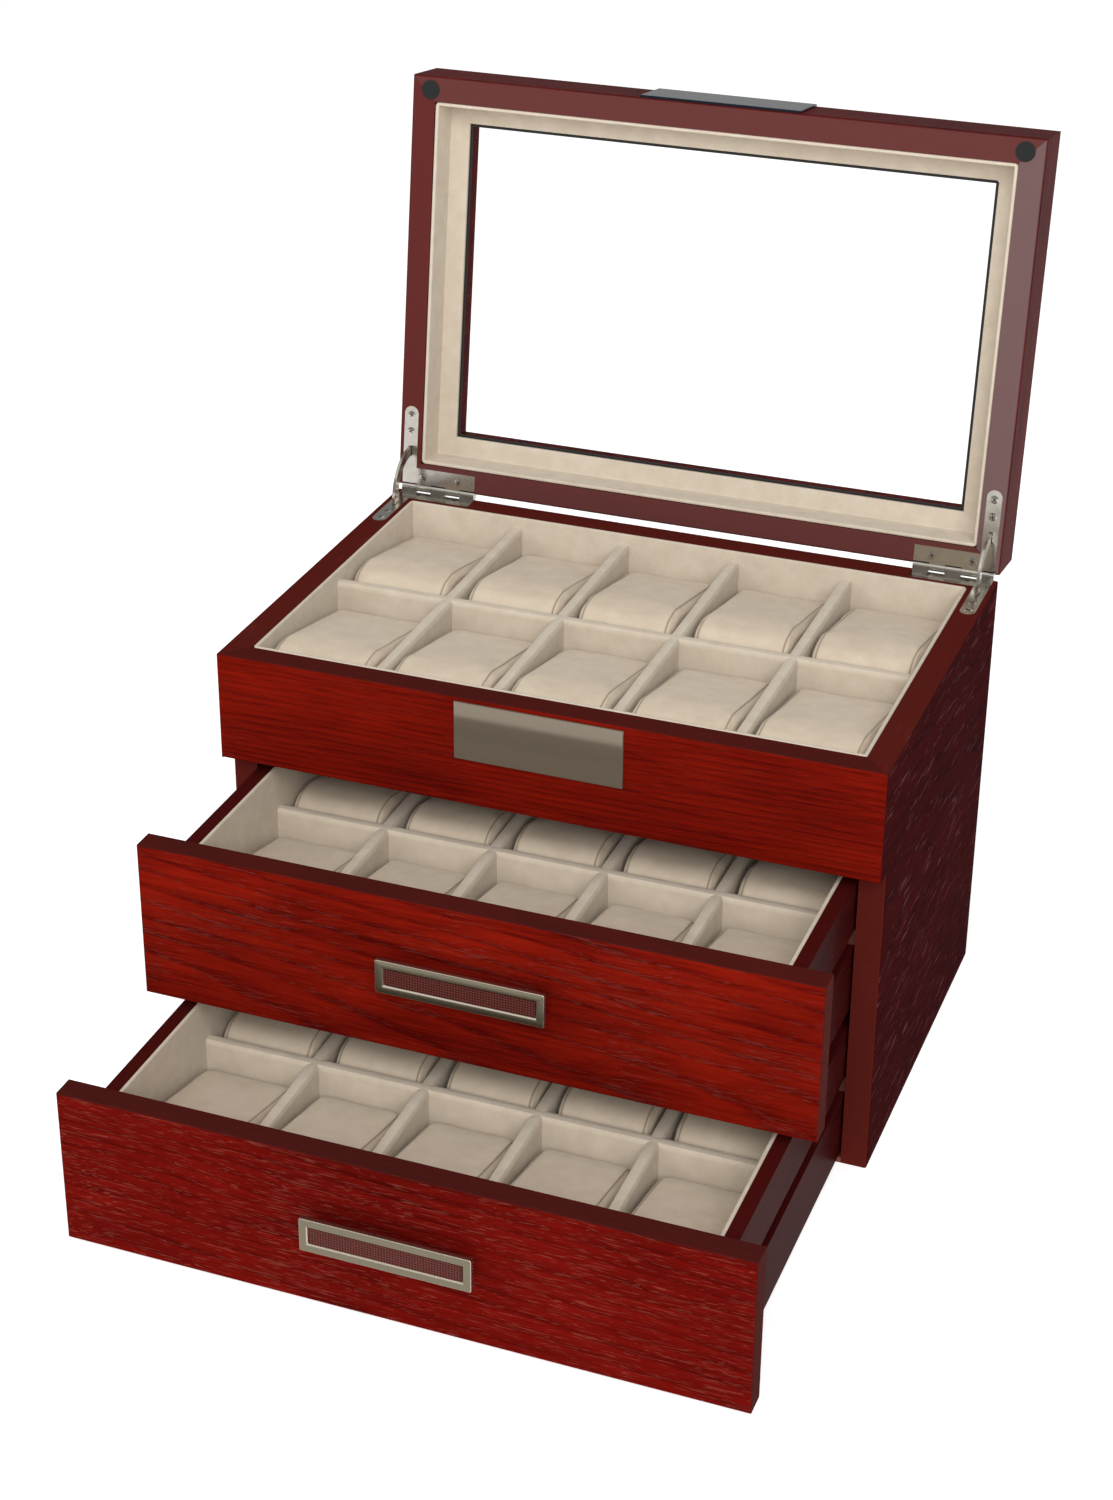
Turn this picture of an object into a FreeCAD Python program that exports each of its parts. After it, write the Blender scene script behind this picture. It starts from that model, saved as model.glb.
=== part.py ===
import FreeCAD, Part
import math
import os

import Sketcher

# Watch box for thirty watches: a fixed top tray under a glazed lid and two drawers.
# Frame: X to the right, Y to the back, Z up. The origin lies on the table, under the
# middle of the case. Pieces are drawn from the front face, with the lid shut and the drawers
# pushed in, and then placed as they rest: lid open on its stays, both drawers pulled out.

# Driving dimensions in millimetres and degrees
SIZES = {
    # case
    "case_width": 335.0,
    "case_depth": 222.0,
    "case_height": 225.0,
    "wall_board": 13.0,
    "front_board": 12.5,
    "panel_height": 57.0,
    "shelf_board": 5.0,
    "shelf_drop": 51.0,
    "base_board": 3.0,
    "edge_radius": 1.0,
    "soft_edge": 1.5,
    # lid
    "lid_height": 33.5,
    "lid_gap": 0.5,
    "lid_board": 12.5,
    "lid_margin": 25.5,
    "glass_board": 3.0,
    "glass_lap": 5.0,
    "lid_angle": 97.7,
    "bumper_radius": 4.9,
    "bumper_proud": 0.42,
    "bumper_sunk": 2.0,
    "bumper_inset": 10.3,
    "bumper_front": 7.0,
    # hinges
    "axis_back": 1.0,
    "axis_rise": 2.0,
    "barrel_radius": 2.2,
    "pin_radius": 1.0,
    "pin_play": 0.06,
    "leaf_board": 1.2,
    "leaf_depth": 9.0,
    "leaf_inset": 1.2,
    "leaf_span": 42.5,
    "leg_width": 8.0,
    "leg_reach": 44.5,
    "screw_head": 2.3,
    "screw_shank": 1.1,
    "screw_length": 8.0,
    "screw_inset": 5.5,
    "screw_near": 8.0,
    "screw_far": 29.0,
    "leg_screw_near": 30.5,
    "leg_screw_far": 39.5,
    "stay_radius": 20.5,
    "stay_depth": 5.0,
    "stay_board": 1.5,
    "stay_play": 0.3,
    "lug_radius": 1.5,
    "lug_length": 4.0,
    # drawers
    "drawer_gap": 2.0,
    "drawer_lift": 1.0,
    "box_rise": 3.0,
    "box_drop": 6.5,
    "box_board": 7.0,
    "box_play": 1.2,
    "box_back_play": 4.0,
    "box_floor": 4.0,
    "groove_rise": 38.0,
    "groove_height": 9.0,
    "groove_depth": 4.3,
    "runner_play": 0.3,
    "upper_pull": 90.0,
    "lower_pull": 178.0,
    # handles and plates
    "handle_width": 83.0,
    "handle_height": 17.5,
    "handle_board": 3.2,
    "handle_standoff": 6.8,
    "handle_lift": 4.0,
    "handle_border": 4.6,
    "handle_bevel": 0.5,
    "insert_sunk": 1.2,
    "insert_board": 0.8,
    "post_radius": 2.5,
    "post_inset": 8.0,
    "plate_width": 85.0,
    "plate_height": 30.3,
    "plate_board": 1.2,
    "plate_margin": 1.9,
    "plate_bevel": 0.3,
    # linings, dividers and pillows
    "lining_board": 2.0,
    "lining_proud": 0.4,
    "divider_board": 6.0,
    "divider_height": 43.7,
    "pillow_play": 1.2,
    "pillow_end_play": 2.2,
    "pillow_height": 46.5,
    "pillow_slope": 14.0,
    "pillow_peak": 20.0,
    "pillow_nose": 3.0,
    "pillow_front_radius": 15.0,
    "pillow_back_radius": 9.0,
    "pillow_foot": 4.0,
    "pillow_cap_bevel": 2.0,
}

COLUMNS = 5
KNUCKLES = 5
# How far a cutting tool runs past the surface that it cuts through
MM = 1.0
HALF_TURN = 180
# Distance within which a point counts as lying on a face or an edge
NEAR = 0.01
# Angle between a stay's lug and the nearer end of its strap
LUG_INSET = 4.6
# Gap between a stay's lug and the leaf that stops it
LUG_GAP = 0.15
# Start and span, in degrees about the hinge axis, of the slots that a stay runs in
CASE_SLOT = (-72, 95)
LID_SLOT = (-8, 71)
LEAF_SLOT = (-30, 60)

doc = FreeCAD.newDocument("WatchBox")
sheet = doc.addObject("Spreadsheet::Sheet", "Sizes")


class Size:
    """A length or an angle that knows its number and the formula that ties it to the sheet."""

    def __init__(self, value, text):
        self.value = value
        self.text = text

    def __add__(self, other):
        other = as_size(other)
        return Size(self.value + other.value, "({} + {})".format(self.text, other.text))

    def __radd__(self, other):
        return as_size(other) + self

    def __sub__(self, other):
        other = as_size(other)
        return Size(self.value - other.value, "({} - {})".format(self.text, other.text))

    def __rsub__(self, other):
        return as_size(other) - self

    def __mul__(self, other):
        other = as_size(other)
        return Size(self.value * other.value, "({} * {})".format(self.text, other.text))

    def __rmul__(self, other):
        return as_size(other) * self

    def __truediv__(self, other):
        other = as_size(other)
        return Size(self.value / other.value, "({} / {})".format(self.text, other.text))

    def __neg__(self):
        return Size(-self.value, "(0 - {})".format(self.text))


def as_size(number):
    """Return a plain number as a Size, and a Size as it is."""
    if isinstance(number, Size):
        return number
    return Size(float(number), "{:.6g}".format(number))


def fill_sheet():
    """Write each driving dimension into the sheet and return them as Sizes by name."""
    named = {}
    for row, (alias, number) in enumerate(SIZES.items(), start=1):
        sheet.set("A{}".format(row), alias)
        sheet.set("B{}".format(row), "{:g}".format(number))
        sheet.setAlias("B{}".format(row), alias)
        named[alias] = Size(number, "Sizes.{}".format(alias))
    doc.recompute()
    return named


S = fill_sheet()

# Places that several pieces share
half_width = S["case_width"] / 2
inner_half = half_width - S["wall_board"]
rim = S["case_height"]
depth = S["case_depth"]
inner_back = depth - S["wall_board"]
panel_foot = rim - S["panel_height"]
shelf_top = rim - S["shelf_drop"]
lid_foot = rim + S["lid_gap"]
lid_top = lid_foot + S["lid_height"]
lid_ceiling = lid_top - S["lid_board"]
axis_y = depth + S["axis_back"]
axis_z = rim + S["axis_rise"]
box_half = inner_half - S["box_play"]
box_inner = box_half - S["box_board"]
drawer_height = (panel_foot - S["drawer_lift"] - 2 * S["drawer_gap"]) / 2
box_height = drawer_height - S["box_rise"] - S["box_drop"]
box_depth = inner_back - S["front_board"] - S["box_back_play"]
stay_x = half_width - S["wall_board"] / 2

NODES = []


def bind(thing, path, size):
    """Tie one property of an object to the formula of a size."""
    thing.setExpression(path, as_size(size).text)


def bind_place(thing, place):
    """Tie the three coordinates of an object's placement to sizes."""
    for letter, size in zip("xyz", place):
        bind(thing, "Placement.Base." + letter, size)


def node(thing, label, group):
    """Name a finished piece, remember it and note the group that moves it.

    A plain block gets a holder, whose placement is free to carry the move to its place at rest.
    """
    if thing.TypeId in ("Part::Box", "Part::Cylinder"):
        thing = group_of(label + "_piece", [thing])
    thing.Label = label
    NODES.append((thing, label, group))
    return thing


def box(name, low, high):
    """Return a Part box between two corners given as sizes."""
    block = doc.addObject("Part::Box", name)
    for side, near, far in zip(("Length", "Width", "Height"), low, high):
        bind(block, side, as_size(far) - near)
    bind_place(block, low)
    return block


def cylinder(name, start, axis, radius, length):
    """Return a Part cylinder from a start point along +X, -Y or +Z."""
    rod = doc.addObject("Part::Cylinder", name)
    bind(rod, "Radius", radius)
    bind(rod, "Height", length)
    heading = {"x": (1, 0, 0), "y": (0, -1, 0), "z": (0, 0, 1)}[axis]
    rod.Placement.Rotation = FreeCAD.Rotation(FreeCAD.Vector(0, 0, 1), FreeCAD.Vector(*heading))
    bind_place(rod, start)
    return rod


def cone(name, start, upwards, start_radius, end_radius, height):
    """Return a Part cone from a start point, along +Z or downwards along -Z."""
    taper = doc.addObject("Part::Cone", name)
    for path, size in (("Radius1", start_radius), ("Radius2", end_radius), ("Height", height)):
        bind(taper, path, size)
    if not upwards:
        taper.Placement.Rotation = FreeCAD.Rotation(FreeCAD.Vector(1, 0, 0), HALF_TURN)
    bind_place(taper, start)
    return taper


def fuse(name, pieces):
    """Return the union of several objects."""
    union = doc.addObject("Part::MultiFuse", name)
    union.Shapes = pieces
    union.Refine = True
    return union


def cut(name, base, tools):
    """Return one object with the others taken out of it."""
    tool = tools[0] if len(tools) == 1 else fuse(name + "_tools", tools)
    rest = doc.addObject("Part::Cut", name)
    rest.Base = base
    rest.Tool = tool
    rest.Refine = True
    return rest


def group_of(name, pieces):
    """Return separate solids that stay separate in one object."""
    several = doc.addObject("Part::Compound", name)
    several.Links = pieces
    return several


def plane_of(body, role):
    """Return the origin plane of a body by its role."""
    for feature in body.Origin.OriginFeatures:
        if feature.Role == role:
            return feature
    raise ValueError("no plane " + role)


def outline(body, name, role, points, offset):
    """Draw a closed outline of straight lines, each corner tied to two sizes.

    The outline lies on an origin plane of the body, moved along its normal by offset.
    """
    sketch = body.newObject("Sketcher::SketchObject", name)
    sketch.AttachmentSupport = [(plane_of(body, role), "")]
    sketch.MapMode = "FlatFace"
    bind(sketch, "AttachmentOffset.Base.z", offset)
    corners = [FreeCAD.Vector(as_size(u).value, as_size(v).value, 0) for u, v in points]
    count = len(corners)
    for index, corner in enumerate(corners):
        sketch.addGeometry(Part.LineSegment(corner, corners[(index + 1) % count]))
    for index in range(count):
        sketch.addConstraint(Sketcher.Constraint("Coincident", index, 2, (index + 1) % count, 1))
    for index, (u, v) in enumerate(points):
        for kind, size in (("DistanceX", as_size(u)), ("DistanceY", as_size(v))):
            rule = Sketcher.Constraint(kind, -1, 1, index, 1, size.value)
            number = sketch.addConstraint(rule)
            bind(sketch, "Constraints[{}]".format(number), size)
    return sketch


def extrusion(name, role, points, offset, length):
    """Return a body padded from a straight-sided outline on an origin plane."""
    body = doc.addObject("PartDesign::Body", name)
    sketch = outline(body, name + "_outline", role, points, offset)
    pad = body.newObject("PartDesign::Pad", name + "_pad")
    pad.Profile = sketch
    bind(pad, "Length", length)
    sketch.Visibility = False
    return body


def edges_where(shape, test):
    """Return the names of the edges whose two ends and middle all pass a test."""
    found = []
    for number, edge in enumerate(shape.Edges, start=1):
        middle = edge.valueAt((edge.FirstParameter + edge.LastParameter) / 2)
        points = [vertex.Point for vertex in edge.Vertexes] + [middle]
        if all(test(point) for point in points):
            found.append("Edge{}".format(number))
    return found


def dress_edges(body, kind, test, path, size):
    """Add a fillet or a chamfer on the edges of a body that pass a test."""
    doc.recompute()
    base = body.Tip
    names = edges_where(base.Shape, test)
    if not names:
        raise ValueError("no edge to ease on " + body.Name)
    feature = body.newObject("PartDesign::" + kind, "{}_{}".format(body.Name, kind.lower()))
    feature.Base = (base, names)
    bind(feature, path, size)
    return feature


def round_edges(body, test, radius):
    """Round the edges of a body that pass a test, as its next feature."""
    return dress_edges(body, "Fillet", test, "Radius", radius)


def bevel_edges(body, test, size):
    """Bevel the edges of a body that pass a test, as its next feature."""
    return dress_edges(body, "Chamfer", test, "Size", size)


def ring_sector(name, middle_x, width, inner, outer, start, span):
    """Return a flat ring sector about the hinge axis.

    Angles are in degrees from the direction that points to the front (-Y), upwards.
    """
    disc = doc.addObject("Part::Cylinder", name + "_disc")
    bore = doc.addObject("Part::Cylinder", name + "_bore")
    for rod, radius in ((disc, outer), (bore, inner)):
        bind(rod, "Radius", radius)
        bind(rod, "Height", width)
    bind(disc, "Angle", span)
    # The cylinder's own x direction turns to the start of the sector, its axis to +X.
    heading = math.radians(start.value + span.value)
    ray = FreeCAD.Vector(0, -math.cos(heading), math.sin(heading))
    frame = FreeCAD.Matrix(0, 0, 1, 0, ray.y, -ray.z, 0, 0, ray.z, ray.y, 0, 0, 0, 0, 0, 1)
    turn = FreeCAD.Placement(frame).Rotation
    for rod in (disc, bore):
        rod.Placement.Rotation = turn
        bind_place(rod, (middle_x - width / 2, axis_y, axis_z))
    sector = doc.addObject("Part::Cut", name)
    sector.Base = disc
    sector.Tool = bore
    return sector


# Case


def case_side(side):
    """Return a side panel: stepped front edge, mitred top corner and hinge mortises."""
    name = "side_panel_left" if side < 0 else "side_panel_right"
    step = S["front_board"]
    points = [(step, 0), (depth, 0), (depth, rim), (0, rim), (0, panel_foot), (step, panel_foot)]
    start = inner_half if side > 0 else -half_width
    board = extrusion(name + "_board", "YZ_Plane", points, start, S["wall_board"])
    outer = half_width.value

    def shows(point):
        at_face = abs(abs(point.x) - outer) < NEAR
        at_foot = point.z < NEAR or point.y > depth.value - NEAR
        return at_face and (at_foot or abs(point.y - step.value) < NEAR)

    round_edges(board, shows, S["edge_radius"])
    wedge = extrusion(name + "_mitre", "XY_Plane",
                      [(side * half_width, 0), (side * inner_half, S["wall_board"]),
                       (side * inner_half, 0)], panel_foot - MM, S["panel_height"] + 2 * MM)
    leaf_bed = leaf_plates(name + "_bed", side, rim - S["leaf_board"], rim + MM)
    pocket = [stay_slot(name + "_slot", side, CASE_SLOT), lug_channel(name + "_channel", side, CASE_SLOT)]
    holes = screw_holes(name, side, rim, True, "leg")
    return node(cut(name, board, [wedge] + leaf_bed + pocket + holes), name, "case")


def leaf_plates(name, side, low, high):
    """Return the two plates of an L-shaped hinge leaf, lying between two heights.

    The leg ends in a half round.
    """
    near = stay_x - S["leg_width"] / 2
    far = stay_x + S["leg_width"] / 2
    end = far - S["leaf_span"]
    front = depth - S["leaf_depth"] - S["leaf_inset"]
    back = depth + S["axis_back"]
    leg_front = depth - S["leg_reach"] + S["leg_width"] / 2
    plates = [cylinder(name + "_end", (side * stay_x, leg_front, low), "z", S["leg_width"] / 2, high - low)]
    for part, (x_one, x_two), y_one in (("web", (end, far), front), ("leg", (near, far), leg_front)):
        x_low, x_high = (x_one, x_two) if side > 0 else (-x_two, -x_one)
        plates.append(box("{}_{}".format(name, part), (x_low, y_one, low), (x_high, back, high)))
    return plates


def stay_slot(name, side, angles):
    """Return the curved slot that a stay slides through, between a start and a span of angles."""
    reach = S["stay_depth"] / 2 + S["stay_play"]
    start, span = as_size(angles[0]), as_size(angles[1])
    return ring_sector(name, side * stay_x, S["stay_board"] + 2 * S["stay_play"], S["stay_radius"] - reach,
                       S["stay_radius"] + reach, start, span)


def lug_channel(name, side, angles):
    """Return the curved channel, wider than the slot, that a stay's lug runs in."""
    reach = S["lug_radius"] + S["stay_play"]
    start, span = as_size(angles[0]), as_size(angles[1])
    return ring_sector(name, side * stay_x, S["lug_length"] + 2 * S["stay_play"], S["stay_radius"] - reach,
                       S["stay_radius"] + reach, start, span)


def screw_places(side):
    """Yield the part of the leaf, the number and the place in plan of each screw of a leaf."""
    for number, inward in enumerate((S["screw_near"], S["screw_far"])):
        yield "web", number, (side * (stay_x - inward), depth - S["screw_inset"])
    for number, reach in enumerate((S["leg_screw_near"], S["leg_screw_far"])):
        yield "leg", number, (side * stay_x, depth - reach)


def screw_shank(name, x, y, face, upwards):
    """Return the shank of a screw whose head lies at a face and looks up or down."""
    length = S["screw_length"]
    start = face - length if upwards else face
    return cylinder(name, (x, y, start), "z", S["screw_shank"], length)


def screw_sink(name, x, y, face, upwards):
    """Return the cone of a screw head, which is also the sink through its leaf."""
    start = face - S["leaf_board"] if upwards else face + S["leaf_board"]
    return cone(name, (x, y, start), upwards, S["screw_shank"], S["screw_head"], S["leaf_board"])


def screw_holes(name, side, face, upwards, wanted):
    """Return the holes that the screws of one part of a leaf make in the wood."""
    holes = []
    for part, number, (x, y) in screw_places(side):
        if part == wanted:
            holes.append(screw_shank("{}_hole_{}_{}".format(name, part, number), x, y, face, upwards))
    return holes


def screw(name, x, y, face, upwards):
    """Return a countersunk screw whose head lies level with its leaf."""
    return fuse(name, [screw_shank(name + "_shank", x, y, face, upwards),
                       screw_sink(name + "_cone", x, y, face, upwards)])


def case_boards():
    """Make the back, the base, the shelf under the top tray and the front panel."""
    back = box("back_board", (-inner_half, inner_back, 0), (inner_half, depth, rim))
    beds = []
    for side in (-1, 1):
        tag = "back_bed_{}".format("left" if side < 0 else "right")
        beds += leaf_plates(tag, side, rim - S["leaf_board"], rim + MM)
        beds += screw_holes(tag, side, rim, True, "web")
    node(cut("back_panel", back, beds), "back_panel", "case")
    node(box("base_panel", (-inner_half, S["front_board"], 0), (inner_half, inner_back, S["base_board"])),
         "bottom_panel", "case")
    node(box("shelf", (-inner_half, S["wall_board"], shelf_top - S["shelf_board"]),
             (inner_half, inner_back, shelf_top)), "tray_shelf", "case")
    front = S["wall_board"]
    points = [(-half_width, 0), (half_width, 0), (inner_half, front), (-inner_half, front)]
    panel = extrusion("front_panel", "XY_Plane", points, panel_foot, S["panel_height"])

    def shows(point):
        return point.y < NEAR and min(abs(point.z - rim.value), abs(point.z - panel_foot.value)) < NEAR

    round_edges(panel, shows, S["edge_radius"])
    node(panel, "top_front_panel", "case")


def name_plate(name, low_z, group):
    """Make a bare metal plate on the front face."""
    half = S["plate_width"] / 2
    high_z = low_z + S["plate_height"]
    points = [(-half, low_z), (half, low_z), (half, high_z), (-half, high_z)]
    plate = extrusion(name, "XZ_Plane", points, 0, S["plate_board"])
    bevel_edges(plate, lambda point: point.y < NEAR - S["plate_board"].value, S["plate_bevel"])
    return node(plate, name, group)


def runners(level, foot):
    """Make the pair of wooden runners that a drawer hangs on."""
    play = S["runner_play"]
    low = foot + S["groove_rise"] + play
    high = foot + S["groove_rise"] + S["groove_height"] - play
    front = S["front_board"] + S["box_board"] / 2
    for side, word in ((-1, "left"), (1, "right")):
        inner = box_half - S["groove_depth"] + play
        x_low, x_high = (inner, inner_half) if side > 0 else (-inner_half, -inner)
        name = "runner_{}_{}".format(level, word)
        node(box(name, (x_low, front, low), (x_high, inner_back, high)), name, "case")


# Linings, dividers and pillows


def lining(name, half, front, back, floor, top, group):
    """Make an open-topped lining of covered boards that fits a rectangular well."""
    board = S["lining_board"]
    outer = box(name + "_outer", (-half, front, floor), (half, back, top))
    inner = box(name + "_inner", (-(half - board), front + board, floor + board),
                (half - board, back - board, top + MM))
    return node(cut(name, outer, [inner]), name, group)


def dividers(name, half, front, back, floor, group):
    """Make the crossed divider boards that part a tray into five columns and two rows."""
    board = S["divider_board"]
    top = floor + S["divider_height"]
    middle = (front + back) / 2
    boards = [box(name + "_cross", (-half, middle - board / 2, floor), (half, middle + board / 2, top))]
    pitch = half * 2 / COLUMNS
    for row, (near, far) in enumerate(((front, middle - board / 2), (middle + board / 2, back))):
        for column in range(1, COLUMNS):
            x_middle = pitch * column - half
            boards.append(box("{}_{}_{}".format(name, row, column),
                              (x_middle - board / 2, near, floor), (x_middle + board / 2, far, top)))
    return node(group_of(name, boards), name, group)


def pillow(name, x_low, x_high, front, back, floor):
    """Return a watch pillow: a long rounded crown that falls to the back, between flat caps."""
    peak = floor + S["pillow_height"]
    fall = peak - S["pillow_slope"]
    nose = peak - S["pillow_nose"]
    foot = S["pillow_foot"]
    points = [(front + foot, floor), (back - foot, floor), (back, floor + foot), (back, fall),
              (front + S["pillow_peak"], peak), (front, nose), (front, floor + foot)]
    body = extrusion(name, "YZ_Plane", points, x_low, x_high - x_low)

    def along_x(y, z):
        return lambda point: abs(point.y - y.value) < 5 * NEAR and abs(point.z - z.value) < 5 * NEAR

    round_edges(body, along_x(front, nose), S["pillow_front_radius"])
    round_edges(body, along_x(back, fall), S["pillow_back_radius"])
    ends = (x_low.value, x_high.value)
    bevel_edges(body, lambda point: min(abs(point.x - end) for end in ends) < NEAR, S["pillow_cap_bevel"])
    return body


def pillow_places(half, front, back):
    """Yield row, column and the box in plan of each pillow of a tray."""
    board = S["divider_board"]
    pitch = half * 2 / COLUMNS
    middle = (front + back) / 2
    play = S["pillow_play"]
    for row, (near, far) in enumerate(((front, middle - board / 2), (middle + board / 2, back))):
        for column in range(COLUMNS):
            left = pitch * column - half
            start = board / 2 if column else as_size(0)
            stop = board / 2 if column < COLUMNS - 1 else as_size(0)
            yield row, column, (left + start + play, left + pitch - stop - play,
                                near + S["pillow_end_play"], far - S["pillow_end_play"])


# Lid


def rail_profile(across):
    """Return the corners of a lid rail's section, from its outer face inwards.

    The section has an upright wall, a flange on top and a step for the glass.
    """
    wall = S["wall_board"]
    glass = lid_ceiling + S["glass_board"]
    corners = [(0, lid_foot), (wall, lid_foot), (wall, lid_ceiling),
               (S["lid_margin"] - S["glass_lap"], lid_ceiling), (S["lid_margin"] - S["glass_lap"], glass),
               (S["lid_margin"], glass), (S["lid_margin"], lid_top), (0, lid_top)]
    return [(across(as_size(u)), v) for u, v in corners]


def lid_rail(name, word):
    """Make one mitred rail of the lid, with its outer edges eased."""
    margin = S["lid_margin"]
    inner_x = half_width - margin
    if word in ("front", "back"):
        near = as_size(0) if word == "front" else depth
        sign = 1 if word == "front" else -1
        section = rail_profile(lambda u: near + sign * u)
        stick = extrusion(name + "_stick", "YZ_Plane", section, -half_width, S["case_width"])
        far = near + sign * margin
        plan = [(-half_width, near), (half_width, near), (inner_x, far), (-inner_x, far)]
    else:
        side = 1 if word == "right" else -1
        section = rail_profile(lambda u: side * (half_width - u))
        stick = extrusion(name + "_stick", "XZ_Plane", section, -depth, depth)
        plan = [(side * half_width, 0), (side * half_width, depth), (side * inner_x, depth - margin),
                (side * inner_x, margin)]

    def outside(point):
        if word in ("front", "back"):
            across = abs(point.y - near.value)
        else:
            across = abs(abs(point.x) - half_width.value)
        return across < NEAR and min(abs(point.z - lid_foot.value), abs(point.z - lid_top.value)) < NEAR

    round_edges(stick, outside, S["soft_edge"])
    prism = extrusion(name + "_plan", "XY_Plane", plan, lid_foot - MM, S["lid_height"] + 2 * MM)
    rail = doc.addObject("Part::Common", name + "_mitred")
    rail.Base = stick
    rail.Tool = prism
    return rail


def lid_rails():
    """Make the four rails, with beds for the hinge leaves, barrels, stays and bumpers."""
    bumper_y = S["bumper_front"]
    for word in ("front", "back", "left", "right"):
        name = "lid_{}_rail".format(word)
        rail = lid_rail(name, word)
        tools = []
        for side, hand in ((-1, "left"), (1, "right")):
            if word in ("back", hand):
                tag = "{}_{}".format(name, hand)
                tools += leaf_plates(tag + "_bed", side, lid_foot - MM, lid_foot + S["leaf_board"])
                tools += screw_holes(tag, side, lid_foot, False, "web" if word == "back" else "leg")
                tools.append(barrel_room(tag + "_room", side))
            if word == hand:
                tools.append(stay_slot(tag + "_slot", side, LID_SLOT))
                tools.append(lug_channel(tag + "_channel", side, LID_SLOT))
            if word in ("front", hand):
                tools.append(bumper_disc("{}_seat_{}".format(name, hand), side, bumper_y, lid_foot - MM,
                                         lid_foot + S["bumper_sunk"]))
        node(cut(name, rail, tools), name, "lid")


def bumper_disc(name, side, y, low, high):
    """Return the disc of a corner bumper between two heights."""
    place = (side * (half_width - S["bumper_inset"]), y, low)
    return cylinder(name, place, "z", S["bumper_radius"], high - low)


def barrel_room(name, side):
    """Return the notch in the lid's back edge that the hinge barrel turns in."""
    far = stay_x + S["leg_width"] / 2 + S["stay_play"]
    near = far - S["leaf_span"] - 2 * S["stay_play"]
    x_low, x_high = (near, far) if side > 0 else (-far, -near)
    front = axis_y - S["barrel_radius"] - S["axis_back"]
    top = axis_z + S["barrel_radius"] + S["stay_play"]
    return box(name, (x_low, front, lid_foot - MM), (x_high, depth + MM, top))


def lid_fittings():
    """Make the glass, the lid's lining, its bare plate and the two corner bumpers."""
    reach = S["lid_margin"] - S["glass_lap"]
    play = S["runner_play"]
    node(box("lid_pane", (reach + play - half_width, reach + play, lid_ceiling),
             (half_width - reach - play, depth - reach - play, lid_ceiling + S["glass_board"] - play)),
         "lid_glass", "lid")
    board = S["lining_board"]
    wall = S["wall_board"]
    margin = S["lid_margin"]
    outer = box("lid_lining_outer", (-inner_half, wall, lid_foot + S["lining_proud"]),
                (inner_half, inner_back, lid_ceiling))
    well = box("lid_lining_well", (-(inner_half - board), wall + board, lid_foot),
               (inner_half - board, inner_back - board, lid_ceiling - board))
    window = box("lid_lining_window", (margin - half_width, margin, lid_foot),
                 (half_width - margin, depth - margin, lid_top))
    node(cut("lid_lining", outer, [well, window]), "lid_lining", "lid")
    name_plate("lid_plate", (lid_foot + lid_top) / 2 - S["plate_height"] / 2, "lid")
    for side, hand in ((-1, "left"), (1, "right")):
        name = "bumper_" + hand
        node(bumper_disc(name, side, S["bumper_front"], lid_foot - S["bumper_proud"],
                         lid_foot + S["bumper_sunk"]), name, "lid")


# Hinges with quadrant stays


def knuckle_bands(side):
    """Yield the index and the x limits of each knuckle along a barrel."""
    far = stay_x + S["leg_width"] / 2
    band = S["leaf_span"] / KNUCKLES
    for index in range(KNUCKLES):
        x_far = far - band * index
        x_near = x_far - band
        limits = (x_near, x_far) if side > 0 else (-x_far, -x_near)
        yield index, limits


def hinge_leaf(name, side, low, on_case):
    """Return an L-shaped leaf with its share of the knuckles, the stay's slot and four screws."""
    high = low + S["leaf_board"]
    plates = leaf_plates(name + "_plate", side, low, high)
    radius = S["barrel_radius"]
    play = S["pin_play"]
    kept, cleared = [], []
    for index, (x_low, x_high) in knuckle_bands(side):
        tag = "{}_{}".format(name, index)
        if (index % 2 == 0) == on_case:
            kept.append(cylinder(tag + "_knuckle", (x_low + play, axis_y, axis_z), "x", radius,
                                 x_high - x_low - 2 * play))
            if on_case:
                kept.append(box(tag + "_roll", (x_low + play, axis_y - radius, low),
                                (x_high - play, axis_y, axis_z)))
        else:
            cleared.append(box(tag + "_gap", (x_low - play, axis_y - radius - S["stay_play"], low - MM),
                               (x_high + play, axis_y + radius + MM, axis_z + radius + MM)))
    slot = stay_slot(name + "_slot", side, LEAF_SLOT)
    face = high if on_case else low
    sinks, screws = [], []
    for part, number, (x, y) in screw_places(side):
        tag = "{}_{}_{}".format(name, part, number)
        sinks.append(screw_sink(tag + "_sink", x, y, face, on_case))
        screws.append(screw(tag + "_screw", x, y, face, on_case))
    plate = cut(name + "_flat", fuse(name + "_web", plates), cleared + [slot] + sinks)
    x_low = list(knuckle_bands(side))[-1 if side > 0 else 0][1][0]
    if on_case:
        pin = cylinder(name + "_pin", (x_low + play, axis_y, axis_z), "x", S["pin_radius"],
                       S["leaf_span"] - 2 * play)
        return group_of(name, [fuse(name + "_solid", [plate, pin] + kept)] + screws)
    bore = cylinder(name + "_bore", (x_low - MM, axis_y, axis_z), "x", S["pin_radius"] + play,
                    S["leaf_span"] + 2 * MM)
    turning = cut(name + "_bored", fuse(name + "_solid", [plate] + kept), [bore])
    return group_of(name, [turning] + screws)


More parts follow.
